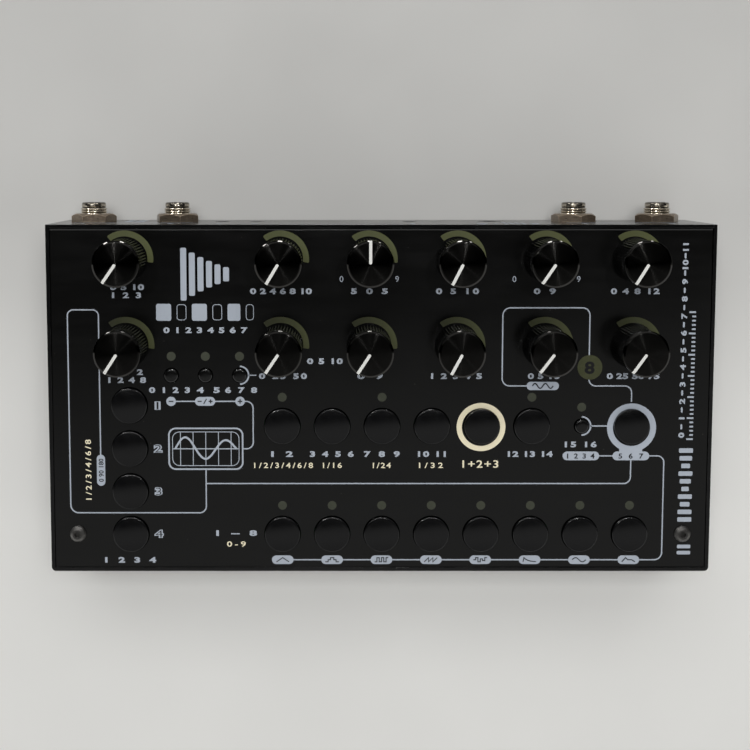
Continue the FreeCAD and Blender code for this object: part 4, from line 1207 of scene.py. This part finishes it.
class DELAYUNIT_OT_numbers(bpy.types.Operator):
    """Prints plain numbers and signs beside the controls"""
    bl_idname = "delayunit.numbers"
    bl_label = "Printed numbers"

    def execute(self, context):
        printed("printed_numbers", bpy.data.materials["silver_ink"], silver_numbers)
        printed("printed_second_numbers", bpy.data.materials["cream_ink"], cream_numbers)
        printed("printed_dark_signs", ink("dark_ink", (0.004, 0.004, 0.005)), dark_signs, layer=1)
        return {"FINISHED"}


# The arcs round the two rows of knobs: name, share of the arc's colour, and share of that colour kept at the
# left end, where shade is painted
ARC_ROWS = (("arc_window_rear", 1.0, 0.85), ("arc_window_front", 0.62, 0.24 / 0.62))
ROW_MIDDLE = 30  # the rear row of knobs lies behind this


def number_window(bm):
    disc(bm, 72.3, 7.9, 4.3, lift=0.008)


def lamp_windows(bm):
    lamps = [middle(name) for name in ("button_tap", "button_write", "button_bypass")] + PRESET_PLACES
    for x, y in [(x, y + 10.1) for x, y in lamps] + [(x, y + 6.6) for x, y in SMALL_PLACES]:
        disc(bm, x, y, 1.55, 36)


class DELAYUNIT_OT_windows(bpy.types.Operator):
    """Adds the lamp windows and the lit arcs round the knobs"""
    bl_idname = "delayunit.windows"
    bl_label = "Lamp windows"

    def execute(self, context):
        s = context.scene.delay_print
        low = PANEL_TOP + INK_GAP
        rows = []
        for name, bright, left_shade in ARC_ROWS:
            bm = bmesh.new()
            arc_window(bm, 0, 0.3, 9.9, 7.85, -7, 127, 0.35)
            rows.append(ink_mesh(bm, name, low, low + s.thickness / MM))
            rows[-1].materials.append(window(name, shade(s.arc, bright), left_shade))
        for knob in KNOBS:
            x, y = middle(knob)
            mesh = rows[0] if y > ROW_MIDDLE else rows[1]
            add_piece("arc_" + knob, mesh, None, "unit", (x, y, 0))
        printed("number_window", window("number_window", shade(s.arc, 0.5)), number_window)
        printed("lamp_windows", window("lamp_window", s.lamp), lamp_windows)
        return {"FINISHED"}


# Plain bars on the rear wall, over the power inlet and between the left sockets: left, width, low, high
REAR_BARS = [
    (33.6, 3.4, 33, 39), (43.4, 1, 24, 39), (45.4, 1, 26, 39), (47.4, 1, 28, 39), (49.4, 1, 30, 39),
    (52.4, 2.6, 32.5, 39), (-91.6, 2.8, 8, 20), (-87.6, 3.2, 8, 23),
]
REAR_LINES = ((-106, -66), (66, 108))
REAR_SOCKETS = (-103.5, -73.1, -56.3, -43.8, 11.2, 40.3, 71.1, 101.5)


class DELAYUNIT_OT_rear(bpy.types.Operator):
    """Prints plain marks and numbers over the sockets on the rear wall"""
    bl_idname = "delayunit.rear_print"
    bl_label = "Rear print"

    def execute(self, context):
        bm = bmesh.new()
        for i, x in enumerate(REAR_SOCKETS):
            digits(bm, str(i + 1), -x, 35.6, 2.4)
        for left, right in REAR_LINES:
            stroke(bm, [(left, 29.2), (right, 29.2)], 0.5)
        for x, width, low, high in REAR_BARS:
            block(bm, -x - width, -x, low, high)
        mesh = ink_mesh(bm, "rear_numbers", INK_GAP, INK_GAP + context.scene.delay_print.thickness / MM)
        wall = corners("rear_panel")[1].y * MM
        upright = Matrix.Rotation(math.pi, 4, "Z") @ Matrix.Rotation(math.pi / 2, 4, "X")
        mesh.transform(Matrix.Translation((0, wall, 0)) @ upright)
        add_piece("rear_numbers", mesh, bpy.data.materials["silver_ink"], "unit")
        return {"FINISHED"}


# ---------------------------------------------------------------- stage

def add_light(name, place, size, power, lights=True):
    """A flat light. One that lights leaves no highlight, and one that doesn't leaves only that."""
    light = bpy.data.lights.new(name, "AREA")
    light.shape = "RECTANGLE"
    light.size, light.size_y = size
    light.energy = power
    lamp = bpy.data.objects.new(name, light)
    bpy.context.scene.collection.objects.link(lamp)
    lamp.location = place
    lamp.visible_glossy = not lights
    lamp.visible_diffuse = lights
    aim = Vector((0, 0, 0.03))
    lamp.rotation_euler = (aim - Vector(place)).to_track_quat("-Z", "Y").to_euler()


def studio_world():
    """A room that is dark overhead and lit in front, with a front wall, a rear pane and a pale foot."""
    world = bpy.data.worlds.new("studio")
    world.use_nodes = True
    n = Nodes(world.node_tree)
    place = n.node("ShaderNodeTexCoord").outputs["Generated"]
    axes = n.node("ShaderNodeSeparateXYZ", Vector=place).outputs
    y, z, slant = axes["Y"], axes["Z"], n.vector("DOT_PRODUCT", place, (-0.12, 1.0, 0.0), output="Value")

    def part(first, second):
        """Brightness over two spans of directions: value, low, high and the brightness at both."""
        return n.join(n.span(*first), n.span(*second), "MULTIPLY")

    ceiling = part((slant, -0.115, -0.185, 0, 0.33), (y, -0.4, -0.7, 1, 0.45))
    wall = part((y, -0.07, -0.11), (z, 0.55, 0.35, 0, 1.6))
    rear = part((y, 0.24, 0.32, 0, 0.25), (z, 0.4, 0.48))
    pane = part((y, 0.6, 0.66, 0, 0.6), (z, 0.4, 0.46))
    light = n.join(n.join(ceiling, wall, "MAXIMUM"), n.join(rear, pane))
    foot = n.span(z, 0.12, 0.07, 0, 0.6)
    back = n.tree.nodes["Background"]
    n.put(back.inputs["Strength"], n.join(light, foot, "MAXIMUM"))
    n.put(back.inputs["Color"], (1, 1, 0.985))
    bpy.context.scene.world = world


# The camera was fitted to the photo: place in metres, tilt in degrees, lens and sensor in millimetres
CAMERA_PLACE, CAMERA_TILT = (-0.0172, 0.07595, 0.4704), -5.09
CAMERA_LENS, CAMERA_SENSOR, CAMERA_SHIFT = 60.0, 36, (0.0587, -0.1253)


def add_camera():
    camera = bpy.data.cameras.new("camera")
    camera.sensor_width = CAMERA_SENSOR
    camera.lens = CAMERA_LENS
    camera.shift_x, camera.shift_y = CAMERA_SHIFT
    camera.clip_start, camera.clip_end = 0.01, 20
    view = bpy.data.objects.new("camera", camera)
    bpy.context.scene.collection.objects.link(view)
    view.location = CAMERA_PLACE
    view.rotation_euler = (math.radians(CAMERA_TILT), 0, 0)
    bpy.context.scene.camera = view


class DELAYUNIT_OT_stage(bpy.types.Operator):
    """Adds the floor, the lights and the camera of the photograph"""
    bl_idname = "delayunit.stage"
    bl_label = "Stage"

    def execute(self, context):
        s = context.scene.delay_stage
        bm = bmesh.new()
        bmesh.ops.create_grid(bm, x_segments=12, y_segments=12, size=2500)
        floor = bpy.data.objects.new("stage_floor", finished_mesh(bm, "stage_floor"))
        floor.data.materials.append(stage_paper(s.floor, s.far))
        context.scene.collection.objects.link(floor)
        add_light("top_light", (0.0, 0.32, 1.3), (0.8, 0.4), s.top)
        add_light("rear_light", (0.0, 0.8, 1.0), (1.6, 0.5), s.rear)
        add_light("key_light", (0.35, -0.9, 1.1), (1.3, 0.8), s.key)
        add_light("glow_light", (-0.2, 0.5, 1.0), (0.6, 0.25), 1.2, lights=False)
        for name, x in (("spot_one", 0.2), ("spot_two", -0.3)):
            add_light(name, (x, 0.34, 1.15), (0.008, 0.008), 0.7, lights=False)
        for i, place in enumerate([(-0.005, 0.54, 0.26), (0.495, 1.045, 0.4), (-0.41, 0.51, 0.25)]):
            add_light("glint_%d" % (i + 1), place, (0.1, 0.07), s.lamps, lights=False)
        studio_world()
        add_camera()
        context.scene.view_settings.view_transform = "Standard"
        return {"FINISHED"}


# ---------------------------------------------------------------- panel and main

STEPS = [
    "case", "inside", "sockets", "knobs", "buttons", "lines", "numbers", "windows", "rear_print", "stage",
]
SETTINGS = {
    "delay_case": CaseSettings, "delay_print": PrintSettings, "delay_knobs": KnobSettings,
    "delay_buttons": ButtonSettings, "delay_sockets": SocketSettings, "delay_stage": StageSettings,
}


class DELAYUNIT_PT_sidebar(bpy.types.Panel):
    """Sizes, colours and steps of the delay unit"""
    bl_idname = "DELAYUNIT_PT_sidebar"
    bl_label = "Delay unit"
    bl_space_type = "VIEW_3D"
    bl_region_type = "UI"
    bl_category = "Delay unit"

    def draw(self, context):
        for name, group in SETTINGS.items():
            box = self.layout.box()
            for key in group.__annotations__:
                box.prop(getattr(context.scene, name), key)
        column = self.layout.column(align=True)
        for step in STEPS:
            column.operator("delayunit." + step)


CLASSES = list(SETTINGS.values()) + [
    DELAYUNIT_OT_case, DELAYUNIT_OT_inside, DELAYUNIT_OT_sockets, DELAYUNIT_OT_knobs, DELAYUNIT_OT_buttons,
    DELAYUNIT_OT_lines, DELAYUNIT_OT_numbers, DELAYUNIT_OT_windows, DELAYUNIT_OT_rear, DELAYUNIT_OT_stage,
    DELAYUNIT_PT_sidebar,
]


def register():
    for item in CLASSES:
        bpy.utils.register_class(item)
    for name, group in SETTINGS.items():
        setattr(bpy.types.Scene, name, bpy.props.PointerProperty(type=group))


def unregister():
    for name in SETTINGS:
        delattr(bpy.types.Scene, name)
    for item in reversed(CLASSES):
        bpy.utils.unregister_class(item)


def main():
    register()
    for step in STEPS:
        getattr(bpy.ops.delayunit, step)()


if __name__ == "__main__":
    main()
